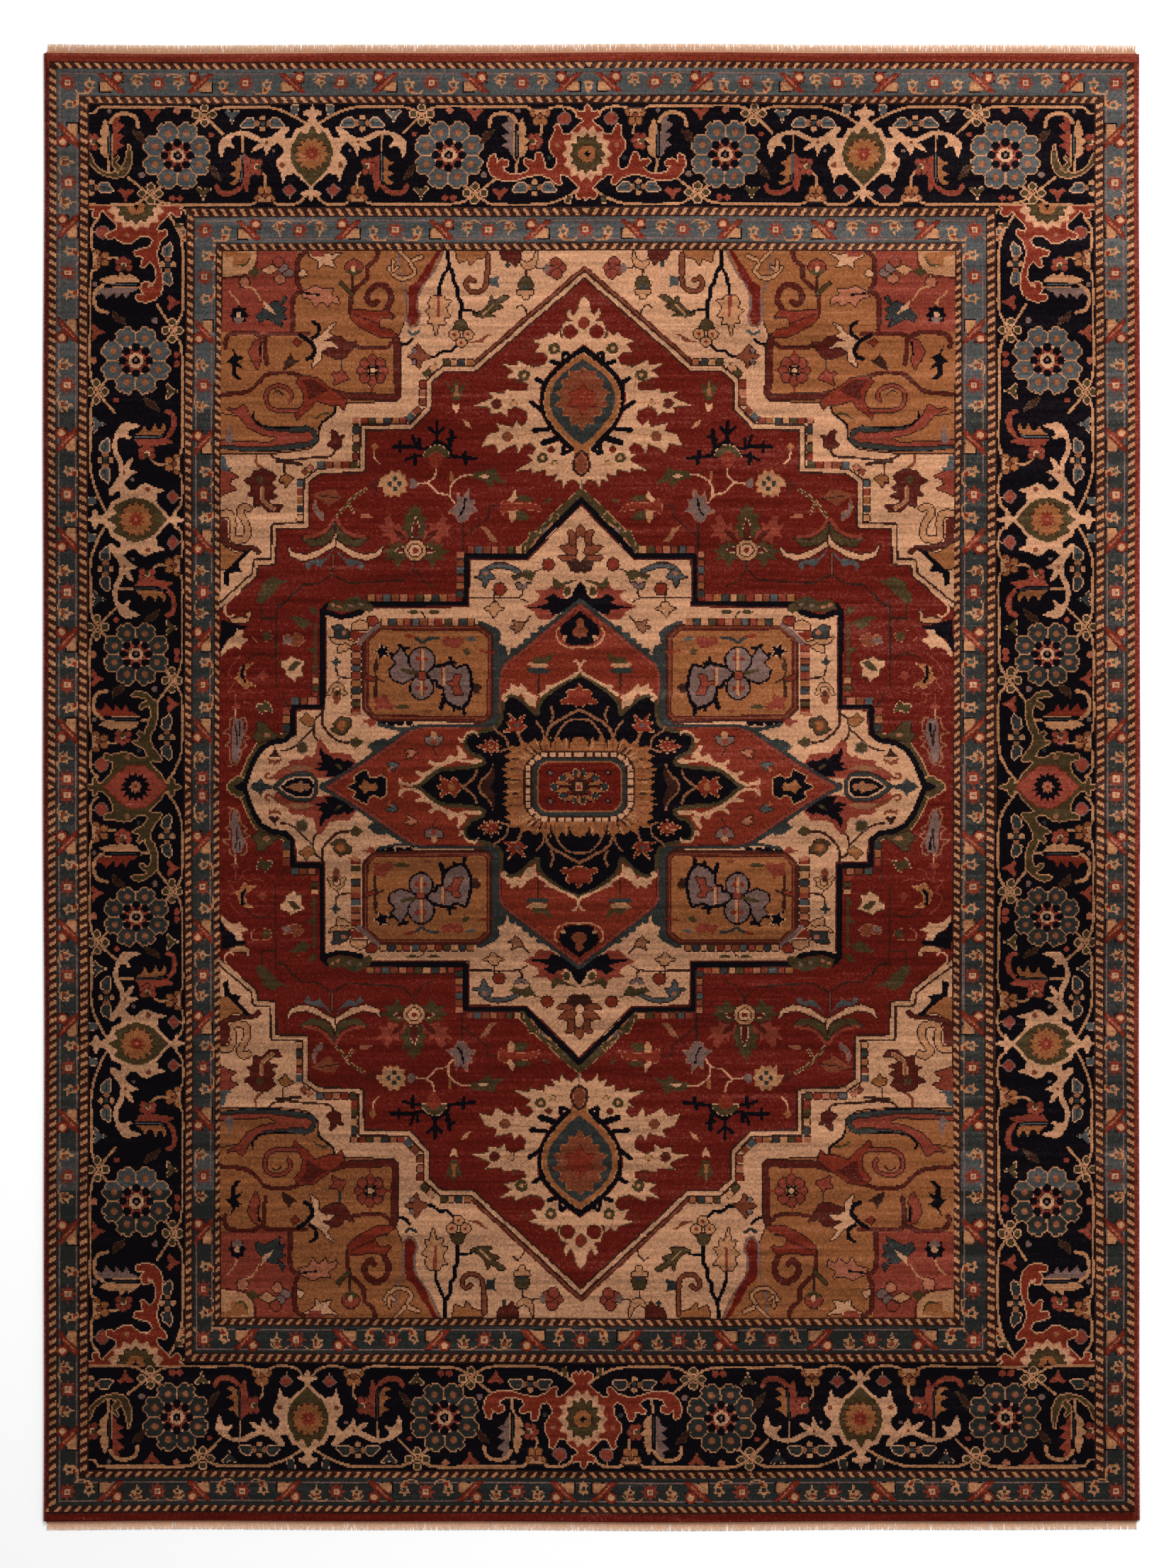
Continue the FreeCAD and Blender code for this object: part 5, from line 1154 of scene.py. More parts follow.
def side_lens(p):
    """A pointed eye with a gold leaf in it, and the dark leaf that fills the tip of the star."""
    p.area([(65.2, 0), (65.3, 1.7), (66.6, 3.1), (68.2, 3.6), (71, 3.5), (73.4, 2.6), (75.2, 1.3),
            (76.8, 0)], "teal", edge="brown")
    p.area([(66, 0), (66.1, 1.5), (67.2, 2.7), (70.9, 2.7), (73.1, 1.8), (75.3, 0)], "ivory")
    p.area([(66.35, 0), (66.45, 1.3), (67.4, 2.3), (70.8, 2.3), (72.9, 1.4), (74.7, 0)], "navy")
    p.area([(67, 0), (67.6, 0.9), (68.8, 0.7), (69.4, 1.6), (70.3, 0.9), (71.6, 0.9), (72.6, 0.3),
            (73.6, 0)], "orange")
    p.area([(76.6, 0), (77.2, 0.5), (78.7, 0.8), (79.4, 1.5), (80, 2.4), (80.6, 1.4), (81.6, 1), (82.8, 0)],
           "teal")


def red_field_side(p):
    """Leaves and blossoms on the red ground beside the star."""
    p.line([(66, 40), (65.9, 34), (65.9, 27.6)], "olive", 0.7)
    p.area([(65.2, 42.4), (66.4, 44), (68.2, 44), (67.2, 42.8), (66.2, 42)], "olive")
    p.area([(66.6, 39.8), (68.4, 41.2), (71, 41.8), (73.6, 41.6), (71.2, 40.6), (70.6, 39.6), (68.8, 38.4),
            (68, 39.4)], "olive")
    p.area([(66, 33.6), (67.2, 34.4), (68.2, 33.9), (67, 33), (66, 32.6)], "olive")
    p.area([(65.8, 29.4), (67.2, 29.6), (66.6, 28.4), (65.8, 27.8)], "olive")
    for route in ([(76, 46), (76, 38), (76, 31), (76, 24.4)], [(76, 41.2), (80, 41.2), (80, 44.4)],
                  [(74.2, 23.4), (74.2, 21.2), (72.8, 20.2)],
                  [(70.8, 48), (72.6, 46.6), (73.4, 45), (75, 44)]):
        p.line(route, "brown", 0.4, curved=False)
    p.line([(77.2, 31.6), (78.8, 32.6), (81, 32.5), (82.6, 31.8), (83.6, 30.6)], "brown", 0.4)
    p.area([(76.4, 48), (77.6, 46.8), (78.6, 45.4), (80.2, 44.6), (81.2, 45.4), (80.8, 47.4), (79.6, 48.6)],
           "olive")
    p.area([(68.8, 36), (69.6, 37.2), (71, 37.6), (71.8, 36.4), (72.6, 37.2), (74, 36.9), (74.2, 35.2),
            (72.4, 35), (71.4, 34.4), (70, 34.6)], "rust", edge="pink", wide=1)
    p.area([(71.8, 36), (73.8, 36.8), (74.2, 35.2), (72.4, 35)], "mauve")
    p.area([(68.6, 30.6), (70.8, 31.4), (72, 32), (73.2, 31), (74.8, 30.8), (74.8, 29.4), (73.6, 28.8),
            (73.4, 27.4), (72, 26.8), (71.2, 25.8), (70.6, 27.2), (69.2, 27.2), (69.6, 29)], "ivory",
           edge="olive", wide=1)
    p.area([(69.4, 30.4), (71, 31), (72.2, 30), (73, 28.6), (71.4, 28.6), (70.4, 29.4)], "olive")
    p.area([(77, 37.2), (78, 38.4), (80, 38.2), (82.2, 38.4), (82.2, 36.6), (81, 35.6), (79.2, 35.6),
            (77.6, 36)], "red", edge="pink", wide=1)
    p.area([(77.2, 36.8), (78.2, 38), (79.4, 37.6), (79.2, 36), (78, 35.8)], "olive")
    p.area([(82.8, 42.8), (83.9, 42.4), (83.6, 41.2), (85.4, 41.6), (87, 41.2), (88.4, 41.4), (87.4, 40.2),
            (84.6, 40), (83.2, 40.6)], "tan", edge="brown")
    p.line([(85.4, 48), (87.6, 46), (89.3, 44.4), (89.4, 42.4), (88.2, 41.6), (87.2, 42.2)], "ivory", 0.5)
    p.area([(83.4, 39.4), (85.6, 39.6), (88.4, 40.4), (90.4, 41), (91, 33), (90, 33.6), (89.2, 36),
            (87.4, 36.6), (86.2, 38.2), (84.2, 38.6)], "navy")
    p.area([(84.4, 38.4), (86.4, 38.6), (87, 37), (89, 35.8), (90.4, 33.4), (90.6, 31.6), (88.6, 33.8),
            (86.6, 34.4), (85.4, 33.8), (84.8, 35), (83.2, 36), (85, 36.6)], "ivory")
    p.area([(82, 30.2), (84, 30.1), (85.4, 29), (86, 27), (86.6, 26.6), (85.2, 25.6), (84.2, 24),
            (82.8, 24.9), (81.2, 24.7), (83, 25.9), (84.2, 27), (84, 28.8)], "gold", edge="tan", wide=1)
    p.line([(84.6, 29.4), (84.9, 27.6), (84, 25.8)], "navy", 0.8)
    p.area([(78, 27.4), (79.2, 28.6), (80.2, 27.8), (81, 27.4), (80, 26.8), (79.6, 26), (78.8, 26.8)],
           "coral")
    for route in ([(79, 23.6), (81, 23), (83, 23.4), (85, 22.8), (86.4, 23.8), (88.6, 23.2), (87.6, 24.8),
                   (86.8, 26.4), (88.4, 27.6), (87.4, 30), (85.4, 32)],
                  [(84.6, 22.4), (84.4, 21), (82.4, 20.4)], [(86.4, 23), (86.6, 20.8), (85.6, 20)]):
        p.line(route, "coral", 0.3)
    p.area([(85.2, 19.2), (86.4, 20.6), (87.8, 19.6), (87.4, 18.8)], "coral")
    p.line([(86.5, 19), (86.5, 16.8), (86.2, 15.2)], "ivory", 0.35)
    p.area([(76.8, 18.4), (77.4, 20), (78.6, 21.2), (79.4, 20.2), (81, 20.4), (80.6, 19), (79.8, 17.8),
            (79, 18.8)], "olive", edge="ivory", wide=1)
    p.area([(84.9, 16.5), (86.8, 16.8), (87.5, 15), (87.4, 12), (87.7, 9.6), (87.5, 7.6), (87.1, 6),
            (86.2, 6), (85.6, 8), (85.2, 10), (84.5, 12), (84.2, 14)], "mauve")
    for route in ([(85, 17), (83.8, 16.8), (83.5, 14.4), (84.3, 12.8), (82.9, 12.2), (84.3, 11.2),
                   (83.5, 10.2), (85, 9.2), (85.4, 7), (86.2, 5.7), (88.6, 5)],
                  [(86.4, 17.4), (87.9, 16.8), (88.3, 14.6), (90, 13.2), (88, 13), (88.1, 11.2),
                   (89.2, 10.2), (88, 9.8), (88.2, 7), (87.6, 5.8)]):
        p.line(route, "orange", 0.4, curved=False)
    p.line([(85.5, 15.6), (85.6, 12.6)], "navy", 0.5)
    p.line([(86.6, 15.4), (86.2, 12.8), (86.2, 10.4)], "brown", 0.4)


def draw_medallion():
    """The medallion, each piece over the last."""
    p = Pen()
    red_field_side(p)
    star_ground(p)
    ivory_blossoms(p)
    lozenge(p)
    panel(p)
    medallion_rosette(p)
    cartouche(p)
    side_lens(p)


# ------------------------ edge stripe, rope stripes and minor borders
# Inner edges of the bands, outermost first: half distances across and along the rug.
EDGE, ROPE_ONE, OUTER, ROPE_TWO = (134.6, 179.7), (132.6, 177.9), (127, 171.2), (124.8, 169.3)
MAIN, ROPE_THREE, INNER, ROPE_FOUR = (100.4, 143.1), (98.2, 140.9), (92.5, 134.2), (90.8, 132.3)


def minor_star(p, x, y):
    """A coral star with a light square in it."""
    p.star(x, y, 8, 2.5, 1.3, "coral")
    p.star(x, y, 8, 2.1, 0.8, "brick")
    p.area([(x - 0.75, y - 0.75), (x + 0.75, y - 0.75), (x + 0.75, y + 0.75), (x - 0.75, y + 0.75)],
           "ivory")
    p.disc(x, y, 0.35, 0.35, "mauve")


def hanging_tulip(p, x, y):
    """A tan tulip that hangs from its stem."""
    p.line([(x - 3.9, y + 2), (x - 2.5, y + 2.5), (x - 0.2, y + 2.1), (x + 0.7, y + 1.1)], "tan", 0.35)
    p.area([(x - 1.1, y + 2.2), (x - 2.1, y + 1.9), (x - 1.8, y + 0.9), (x - 2.3, y), (x - 1.4, y),
            (x - 1, y - 1.7), (x - 0.4, y - 0.1), (x + 0.9, y + 0.2), (x - 0.1, y + 1.1),
            (x - 0.4, y + 1.9)], "tan")
    p.area([(x - 0.5, y + 1.8), (x - 1.9, y + 1.7), (x - 1.6, y + 0.8), (x - 0.6, y + 0.8)], "rust")
    p.disc(x - 1, y + 0.3, 0.4, 0.4, "blue")


def rising_tulip(p, x, y):
    """A tan tulip that stands on its stem."""
    p.line([(x - 3.5, y - 1.7), (x - 2.8, y - 2.4), (x - 1, y - 2.5)], "tan", 0.35)
    p.area([(x - 0.1, y + 1.7), (x + 0.4, y + 0.8), (x + 1.5, y + 0.7), (x + 0.8, y - 0.1),
            (x + 1, y - 1.1), (x, y - 2.4), (x - 1.6, y - 2.6), (x - 1.1, y - 1.6), (x - 1, y - 0.7),
            (x - 1.5, y + 0.6), (x - 0.6, y + 0.6)], "tan")
    p.area([(x - 0.5, y + 0.2), (x + 0.5, y + 0.3), (x + 0.3, y - 0.7), (x - 0.4, y - 0.8)], "blue")
    p.area([(x - 0.9, y - 1), (x, y - 1.1), (x - 0.2, y - 1.9), (x - 1.1, y - 2.1)], "brick")


def barred_crossing(p):
    """A red bar with a light zigzag, a rosette on its one side and a tan block on the other."""
    p.area([(0.2, 2.7), (2.8, 2.7), (2.9, 0), (1.6, -0.2)], "navy")
    p.area([(-3.2, 0.4), (-1.4, 0.6), (0.4, -2), (-0.4, -2.5), (-3.2, -2.5)], "navy")
    p.area([(-2.8, 0.1), (-1.4, 0.2), (0.4, -2), (-2.8, -2.1)], "tan", edge="orange", wide=1)
    p.area([(-3.5, 2.4), (-2, 2.3), (0.9, 0.2), (3.2, -2.5), (1.4, -2.4), (-1, -0.2)],
           "brick", edge="deep_red", wide=1)
    p.disc(1.5, 1.4, 1.4, 1.4, "brick", edge="deep_red", wide=1)
    p.disc(1.6, 1.4, 0.7, 0.7, "ivory", edge="tan", wide=1)
    p.line([(-1.5, 1.2), (-0.9, 0.9), (-0.5, 0.2), (0, 0), (0.3, -0.7), (0.9, -1),
            (1.2, -1.6)], "pink", 0.35, curved=False)


def unit(p, x, y, hangs, sides=(1, -1)):
    """A star with a tulip on each of the named sides."""
    minor_star(p, x, y)
    for mirror in sides:
        side = Pen(*p.at((x, y)), p.matrix).scaled(mirror, 1)
        if hangs:
            hanging_tulip(side, 6, -0.2)
        else:
            rising_tulip(side, 5.6, -0.3)


def minor_run(pen, stars, crossings, centre, first_hangs, first_falls):
    """Stars and crossings along a minor border; the tulips and the bars turn over from each to the next."""
    for k, x in enumerate(stars):
        unit(pen, x, centre, hangs=(k % 2 == 0) == first_hangs)
    for k, x in enumerate(crossings):
        falls = (k % 2 == 0) == first_falls
        barred_crossing(Pen(*pen.at((x, centre)), pen.matrix).scaled(1 if falls else -1, 1))


def minor_borders():
    """Both minor borders: their grounds, their edge lines and what runs along them."""
    p = Pen()
    for outer, inner in ((ROPE_ONE, OUTER), (ROPE_THREE, INNER)):
        p.area([(0, inner[1]), (inner[0], inner[1]), (inner[0], 90), (outer[0], 90), outer, (0, outer[1])],
               "blue")
        p.area([(inner[0], 0), (inner[0], 92), (outer[0], 92), (outer[0], 0)], "teal")
        for inset in (1.0, -1.0):
            edge = outer if inset > 0 else inner
            a, b = edge[0] - inset * 0.8, edge[1] - inset * 1.1
            p.line([(0, b), (a, b), (a, 0)], "mauve", 0.3, curved=False)
    side = Pen(matrix=[(0, 1), (1, 0)])
    minor_run(p, (0, 24.1, 47.2, 71.2, 95.6), (12, 35.6, 59, 84), 137.5, False, True)
    minor_run(side, (2.2, 25, 47.5, 71, 98, 125.5), (13.8, 36.2, 59.5, 84, 111.4), 95.4, True, False)
    minor_run(p, (16.5, 39, 61.5, 85.5, 107.5), (5.2, 28, 50.5, 73.5, 97, 119), 174.5, True, True)
    minor_run(side, (2, 25, 47.5, 71, 98, 126.5, 149.5), (13.8, 36.2, 60, 84.5, 111.6, 138.5, 161.3), 129.8,
              True, False)
    rising_tulip(p, 0, 174)
    unit(p, 130, 174.5, False, (-1,))
    unit(side, 174.5, 130, False, (-1,))
    unit(p, 95.4, 137.5, False, (-1,))


def rope(p, outer, inner):
    """Slanting tan dashes on dark brown all the way round."""
    rim, dash_across, dash_along = 0.25, 2.45, 2.2     # cm: bare edge, and one dash on each side
    p.area([(0, inner[1]), inner, (inner[0], 0), (outer[0], 0), outer, (0, outer[1])], "brown")
    low, high = inner[1] + rim, outer[1] - rim
    count = round(outer[0] / dash_across)
    pitch = outer[0] / count
    for k in range(count + 1):
        x = (k - 0.35) * pitch
        p.area([(x - 0.5, low), (x + 0.55, low), (x + 1.75, high), (x + 0.7, high)], "deep_red")
        p.area([(x - 0.2, low), (x + 0.75, low), (x + 1.85, high), (x + 0.9, high)], "tan")
    low, high = inner[0] + rim, outer[0] - rim
    count = round(outer[1] / dash_along)
    pitch = outer[1] / count
    p.area([(inner[0], 0), inner, (inner[0], inner[1] + 0.3), (outer[0], outer[1] - 0.3), (outer[0], 0)],
           "brown")
    for k in range(count + 1):
        y = (k - 0.3) * pitch
        if y < inner[1] + 0.6:
            p.area([(low, y - 0.75), (high, y + 0.15), (high, y + 1.1), (low, y + 0.35)], "deep_red")
            p.area([(low, y - 0.45), (high, y + 0.4), (high, y + 1.35), (low, y + 0.55)], "tan")


def draw_bands():
    """The red edge, the minor borders and the four rope stripes."""
    p = Pen()
    p.area([(0, EDGE[1]), EDGE, (EDGE[0], 0), (136, 0), (136, 182), (0, 182)], "red")
    p.line([(0, EDGE[1] + 0.2), (EDGE[0] + 0.2, EDGE[1] + 0.2), (EDGE[0] + 0.2, 0)], "deep_red", 0.5,
           curved=False)
    minor_borders()
    rope(p, EDGE, ROPE_ONE)
    rope(p, OUTER, ROPE_TWO)
    rope(p, MAIN, ROPE_THREE)
    rope(p, INNER, ROPE_FOUR)


main_border()
draw_field()
draw_medallion()
draw_bands()


# ------------------------ which part of the design each knot is in
ZONES = ["edge_band", "rope_stripe_one", "outer_minor_border", "rope_stripe_two", "main_border",
         "rope_stripe_three", "inner_minor_border", "rope_stripe_four", "field",
         "corner_bands", "corner_pieces", "pendants", "medallion_star", "medallion_lozenge",
         "medallion_panels", "medallion_rosette", "medallion_cartouche"]
zones = np.zeros((ROWS, COLUMNS), np.uint8)


def mark(points, name):
    """Put every knot inside the outline into the named zone."""
    points = np.array(points, float)
    x0, x1, y0, y1 = window(points, 0)
    zones[y0:y1, x0:x1][inside(points, x0, x1, y0, y1)] = ZONES.index(name)


for name, size in zip(ZONES[1:], (EDGE, ROPE_ONE, OUTER, ROPE_TWO, MAIN, ROPE_THREE, INNER, ROPE_FOUR)):
    mark([(-1, -1), (size[0], -1), size, (-1, size[1])], name)
mark([(-1, 127.2), *STEPS, (90.8, 132.3), (-1, 132.3)], "corner_bands")
mark([(x, min(y, 132.3)) for x, y in GOLD_EDGE], "corner_pieces")
mark([(-1, 120.4), *PENDANT[:-1], (-1, 71.6)], "pendants")
mark([(-1, 70.4), *STAR, (84.3, -1), (-1, -1)], "medallion_star")
mark([(-1, 44.6), *LOZENGE, (62.6, -1), (-1, -1)], "medallion_lozenge")
mark(PANEL, "medallion_panels")
mark([(-1, 28), *ROSETTE, (41, -1), (-1, -1)], "medallion_rosette")
mark([(-1, 8.7), *CARTOUCHE, (13.8, -1), (-1, -1)], "medallion_cartouche")


# ------------------------ yarns and materials
YARN_COLOURS = {
    "red": (80, 17, 9), "deep_red": (65, 19, 12), "brick": (98, 32, 18), "rust": (97, 46, 27),
    "navy": (6, 3, 7), "ivory": (161, 115, 85), "gold": (119, 69, 38), "tan": (146, 99, 67),
    "blue": (60, 60, 59), "teal": (38, 38, 36), "olive": (56, 42, 22), "pink": (133, 76, 54),
    "mauve": (94, 70, 63), "brown": (42, 19, 12), "orange": (114, 70, 46), "coral": (107, 43, 30),
}
# Each yarn has five shades: how light it is, and how much of a pale glint colour is added, a painted highlight
# on the tufts' tips.
SHADES = ((0.55, 0), (0.78, 0), (1.0, 0.001), (1.2, 0.009), (1.42, 0.03))
# The colour of the painted glint on the tufts' tips.
GLINT_TINT = (0.9, 0.68, 0.53)
NAVY_GLINT_SHARE = 0.15      # navy gets only this share of the painted glint
FIBRE_SCALE = 1300.0                      # per metre: strands of wool about 0.8 mm wide
TUFT_SCALE = 290.0                        # per metre: one cell for each knot
COTTON = {
    # Fringe cotton: the foot's is painted lighter than the head's against the shade the pile casts on it; the
    # light and pale ones are painted highlight toward the strands' tips.
    "cotton_head": (188, 142, 110), "cotton_foot": (222, 172, 137),
    "cotton_head_light": (203, 158, 126), "cotton_foot_light": (228, 181, 147),
    "cotton_head_pale": (216, 183, 156), "cotton_foot_pale": (233, 197, 168),
    "cotton_web": (178, 130, 100), "cotton_cord": (178, 138, 112),
}
SELVEDGE_COLOURS = {"binding_dark": (94, 29, 24), "binding": (114, 40, 33), "binding_light": (134, 54, 43)}
materials = {}


# wool: the share of the glint colour added on top, a painted highlight on the tufts' tips.
def linear(colour, factor=1.0, wool=0.0):
    values = [c / 255 for c in colour]
    values = [v / 12.92 if v <= 0.04045 else ((v + 0.055) / 1.055) ** 2.4 for v in values]
    return [min(1.0, v * factor + wool * w) for v, w in zip(values, GLINT_TINT)] + [1.0]


def textile(name, colour, rough=(0.74, 0.98), sheen=0.03, fibre=FIBRE_SCALE, tuft=TUFT_SCALE, depth=0.0009):
    """Wool or cotton: dyed yarn with fine fibres, a grain of tufts and a soft sheen."""
    material = bpy.data.materials.new(name)
    material.use_nodes = True
    nodes, links = material.node_tree.nodes, material.node_tree.links
    shader = nodes["Principled BSDF"]
    shader.inputs["Base Color"].default_value = colour
    shader.inputs["Specular IOR Level"].default_value = 0.02
    shader.inputs["Sheen Weight"].default_value = sheen
    shader.inputs["Sheen Roughness"].default_value = 0.55
    place = nodes.new("ShaderNodeTexCoord")
    strands = nodes.new("ShaderNodeTexNoise")
    strands.inputs["Scale"].default_value = fibre
    strands.inputs["Detail"].default_value = 3.0
    links.new(place.outputs["Object"], strands.inputs["Vector"])
    cells = nodes.new("ShaderNodeTexVoronoi")
    cells.inputs["Scale"].default_value = tuft
    links.new(place.outputs["Object"], cells.inputs["Vector"])
    both = nodes.new("ShaderNodeMath")
    both.operation = "SUBTRACT"
    links.new(strands.outputs["Fac"], both.inputs[0])
    links.new(cells.outputs["Distance"], both.inputs[1])
    bump = nodes.new("ShaderNodeBump")
    bump.inputs["Strength"].default_value = 0.55
    bump.inputs["Distance"].default_value = depth
    links.new(both.outputs[0], bump.inputs["Height"])
    links.new(bump.outputs["Normal"], shader.inputs["Normal"])
    spread = nodes.new("ShaderNodeMapRange")
    spread.inputs["To Min"].default_value = rough[0]
    spread.inputs["To Max"].default_value = rough[1]
    links.new(strands.outputs["Fac"], spread.inputs["Value"])
    links.new(spread.outputs["Result"], shader.inputs["Roughness"])
    materials[name] = material
    return material


# Each shade's lightness, plus its painted glint, less of it on navy.
for yarn in YARNS:
    share = NAVY_GLINT_SHARE if yarn == "navy" else 1
    for shade, (factor, wool) in enumerate(SHADES):
        textile(f"{yarn}_{shade}", linear(YARN_COLOURS[yarn], factor, wool * share))
for name, colour in COTTON.items():
    textile(name, linear(colour), rough=(0.8, 0.95), sheen=0.1, fibre=2600.0, tuft=700.0, depth=0.0004)
for name, colour in SELVEDGE_COLOURS.items():
    textile(name, linear(colour), rough=(0.7, 0.9), sheen=0.3, fibre=1800.0, tuft=600.0, depth=0.0004)


# ------------------------ where things lie, from the CAD frame
PILE_X, PILE_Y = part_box("edge_band_right")[1].x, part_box("edge_band_head")[1].y
PILE_FOOT, PILE_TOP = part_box("edge_band_left")[0].z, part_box("edge_band_left")[1].z
KNOT = 0.0035
ACROSS, ALONG = round(2 * PILE_X / KNOT), round(2 * PILE_Y / KNOT)
SAG = 0.0007          # how far the pile's mean surface lies below its highest tips
WAVER = 0.0014        # how far the rug's edges wander from straight


def quad_grid(rows, columns):
    """Corner numbers of every quad in a grid of points, seen anticlockwise from above."""
    start = (np.arange(rows)[:, None] * (columns + 1) + np.arange(columns)).ravel()
    return np.stack([start, start + 1, start + columns + 2, start + columns + 1], 1)


def grid_rim(rows, columns):
    """The points round the edge of the same grid, in order."""
    up = np.arange(rows) * (columns + 1)
    last = rows * (columns + 1)
    left_to_right = np.arange(columns)
    return np.concatenate([left_to_right, up + columns, last + columns - left_to_right, last - up])


def settle(points):
    """Let the rug's straight lines wander a little, as a woven thing does."""
    x, y = points[:, 0].copy(), points[:, 1].copy()
    points[:, 0] += WAVER * x / PILE_X * (np.sin(2.3 * y + 0.6) + 0.6 * np.sin(6.1 * y + 2.0))
    points[:, 1] += WAVER * y / PILE_Y * (np.sin(3.1 * x + 1.1) + 0.6 * np.sin(7.7 * x))
    return points


def mesh_piece(name, points, groups, used):
    """A mesh from groups of faces: each group is (corner array, material index of each face)."""
    mesh = bpy.data.meshes.new(name)
    corners = np.concatenate([faces.ravel() for faces, _ in groups])
    sizes = np.concatenate([np.full(len(faces), faces.shape[1]) for faces, _ in groups])
    mesh.vertices.add(len(points))
    mesh.vertices.foreach_set("co", settle(np.array(points, np.float32)).ravel())
    mesh.loops.add(len(corners))
    mesh.loops.foreach_set("vertex_index", corners.astype(np.int32))
    mesh.polygons.add(len(sizes))
    mesh.polygons.foreach_set("loop_start", (np.cumsum(sizes) - sizes).astype(np.int32))
    for key in used:
        mesh.materials.append(materials[key])
    mesh.polygons.foreach_set("material_index",
                              np.concatenate([index for _, index in groups]).astype(np.int32))
    mesh.polygons.foreach_set("use_smooth", np.full(len(sizes), True))
    mesh.update(calc_edges=True)
    piece = bpy.data.objects.new(name, mesh)
    bpy.context.scene.collection.objects.link(piece)
    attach(piece, "root")
    return piece


# ------------------------ the pile
def patches(rows, columns, tall, wide):
    """Smooth random patches over the knots, each about tall by wide knots."""
    lattice = random.normal(size=(int(rows / tall) + 3, int(columns / wide) + 3))

    def split(count, size):
        t = np.arange(count) / size
        whole = t.astype(int)
        part = t - whole
        return whole, part * part * (3 - 2 * part)

    r, fr = split(rows, tall)
    c, fc = split(columns, wide)
    fr = fr[:, None]
    low = lattice[r][:, c] * (1 - fc) + lattice[r][:, c + 1] * fc
    high = lattice[r + 1][:, c] * (1 - fc) + lattice[r + 1][:, c + 1] * fc
    return low * (1 - fr) + high * fr


FIELD_DRIFT = 3.15        # cm that the field lies to the left, most of all 30 cm below the middle
FIELD_HALF_WIDTH = 104    # cm, where that ends
ALONG_DRIFT = 1.75        # cm that the pattern leans toward the head, most of all 88 cm from the middle


def bow(u, v):
    """How far, in centimetres, the knotting leans from the even design, across and along."""
    drift = FIELD_DRIFT - 5.7e-5 * (v + 30) ** 2
    across = -drift * np.maximum(0, 1 - (np.abs(u) / FIELD_HALF_WIDTH) ** 4)
    along = ALONG_DRIFT * np.exp(-(((np.abs(v) - 88) / 48) ** 2))
    return across, along


step_x, step_y = 2 * PILE_X / ACROSS, 2 * PILE_Y / ALONG
x_cm = ((np.arange(ACROSS) + 0.5) * step_x - PILE_X)[None, :] * 100
y_cm = ((np.arange(ALONG) + 0.5) * step_y - PILE_Y)[:, None] * 100
u, v = np.broadcast_to(x_cm, (ALONG, ACROSS)), np.broadcast_to(y_cm, (ALONG, ACROSS))
for _ in range(4):
    across, along = bow(u, v)
    u, v = x_cm - across, y_cm - along
column = np.clip((np.abs(u) / FINE).astype(int), 0, COLUMNS - 1)
row = np.clip((np.abs(v) / FINE).astype(int), 0, ROWS - 1)
knot_yarn = quarter[row, column]
knot_zone = zones[row, column]

# Dye lots change from row to row and wool from knot to knot.
# The whole is painted lighter toward the head and the right side: painted light from the lamp's side.
MEAN_SHADE, STREAKED, HEATHERED = 1.75, 0.95, 0.6
streaks = 0.55 * patches(ALONG, ACROSS, 1.5, 30) + 0.5 * patches(ALONG, ACROSS, 5, 130)
streaks = streaks + 0.35 * patches(ALONG, ACROSS, 70, 260)
heather = random.normal(size=(ALONG, ACROSS))
painted_light_slope = 0.3 * x_cm / 135 + 0.45 * y_cm / 180
lightness = MEAN_SHADE + painted_light_slope + STREAKED * streaks + HEATHERED * heather
knot_shade = np.clip(np.rint(lightness), 0, len(SHADES) - 1).astype(int)
# The blue is darker at the foot, and so is the main border halfway up its sides, all but the coral.
darker_foot = (knot_yarn == INDEX["blue"]) & (y_cm < -100)
side_middle = (knot_zone == ZONES.index("main_border")) & (np.abs(y_cm) < 58) & (np.abs(x_cm) > 98)
side_middle &= knot_yarn != INDEX["coral"]
knot_shade = np.where(darker_foot | side_middle, np.maximum(knot_shade - 1, 0), knot_shade)
knot_yarn = np.where(darker_foot | (side_middle & (knot_yarn == INDEX["blue"])), INDEX["teal"], knot_yarn)
# The last rows at the head and the right side are painted lighter in brick and coral: painted highlight where
# the pile's edge faces the lamp.
lit_edge_paint = (knot_zone == ZONES.index("edge_band")) & ((y_cm > 178) | (x_cm > 134))
lit_edge_yarn = np.where((y_cm > 181.1) | (x_cm > 135.1), INDEX["coral"], INDEX["brick"])
knot_yarn = np.where(lit_edge_paint, lit_edge_yarn, knot_yarn)
knot_material = knot_yarn * len(SHADES) + knot_shade
MATERIAL_KEYS = [f"{yarn}_{shade}" for yarn in YARNS for shade in range(len(SHADES))]

# Where the knots' corners are: a little uneven, with every second row standing up. In metres.
STRAY_ACROSS, STRAY_ALONG = 0.0004, 0.0003
TUFT_RELIEF, ROW_RELIEF, PATCH_RELIEF, DEEPEST = 0.00022, 0.0001, 0.0002, 0.0012
tips_x, tips_y = np.meshgrid(np.linspace(-PILE_X, PILE_X, ACROSS + 1),
                             np.linspace(-PILE_Y, PILE_Y, ALONG + 1))
inner = np.zeros(tips_x.shape)
inner[1:-1, 1:-1] = 1
tips_x = tips_x + inner * random.normal(size=tips_x.shape) * STRAY_ACROSS
tips_y = tips_y + inner * random.normal(size=tips_x.shape) * STRAY_ALONG
row_swell = ROW_RELIEF * np.cos(np.arange(ALONG + 1) * math.pi)[:, None]
relief = TUFT_RELIEF * random.normal(size=tips_x.shape) + row_swell
relief = relief + PATCH_RELIEF * patches(ALONG + 1, ACROSS + 1, 2.5, 9)
tips_z = PILE_TOP - SAG + np.clip(relief, -DEEPEST, SAG)
tips = np.stack([tips_x, tips_y, tips_z], -1).reshape(-1, 3)


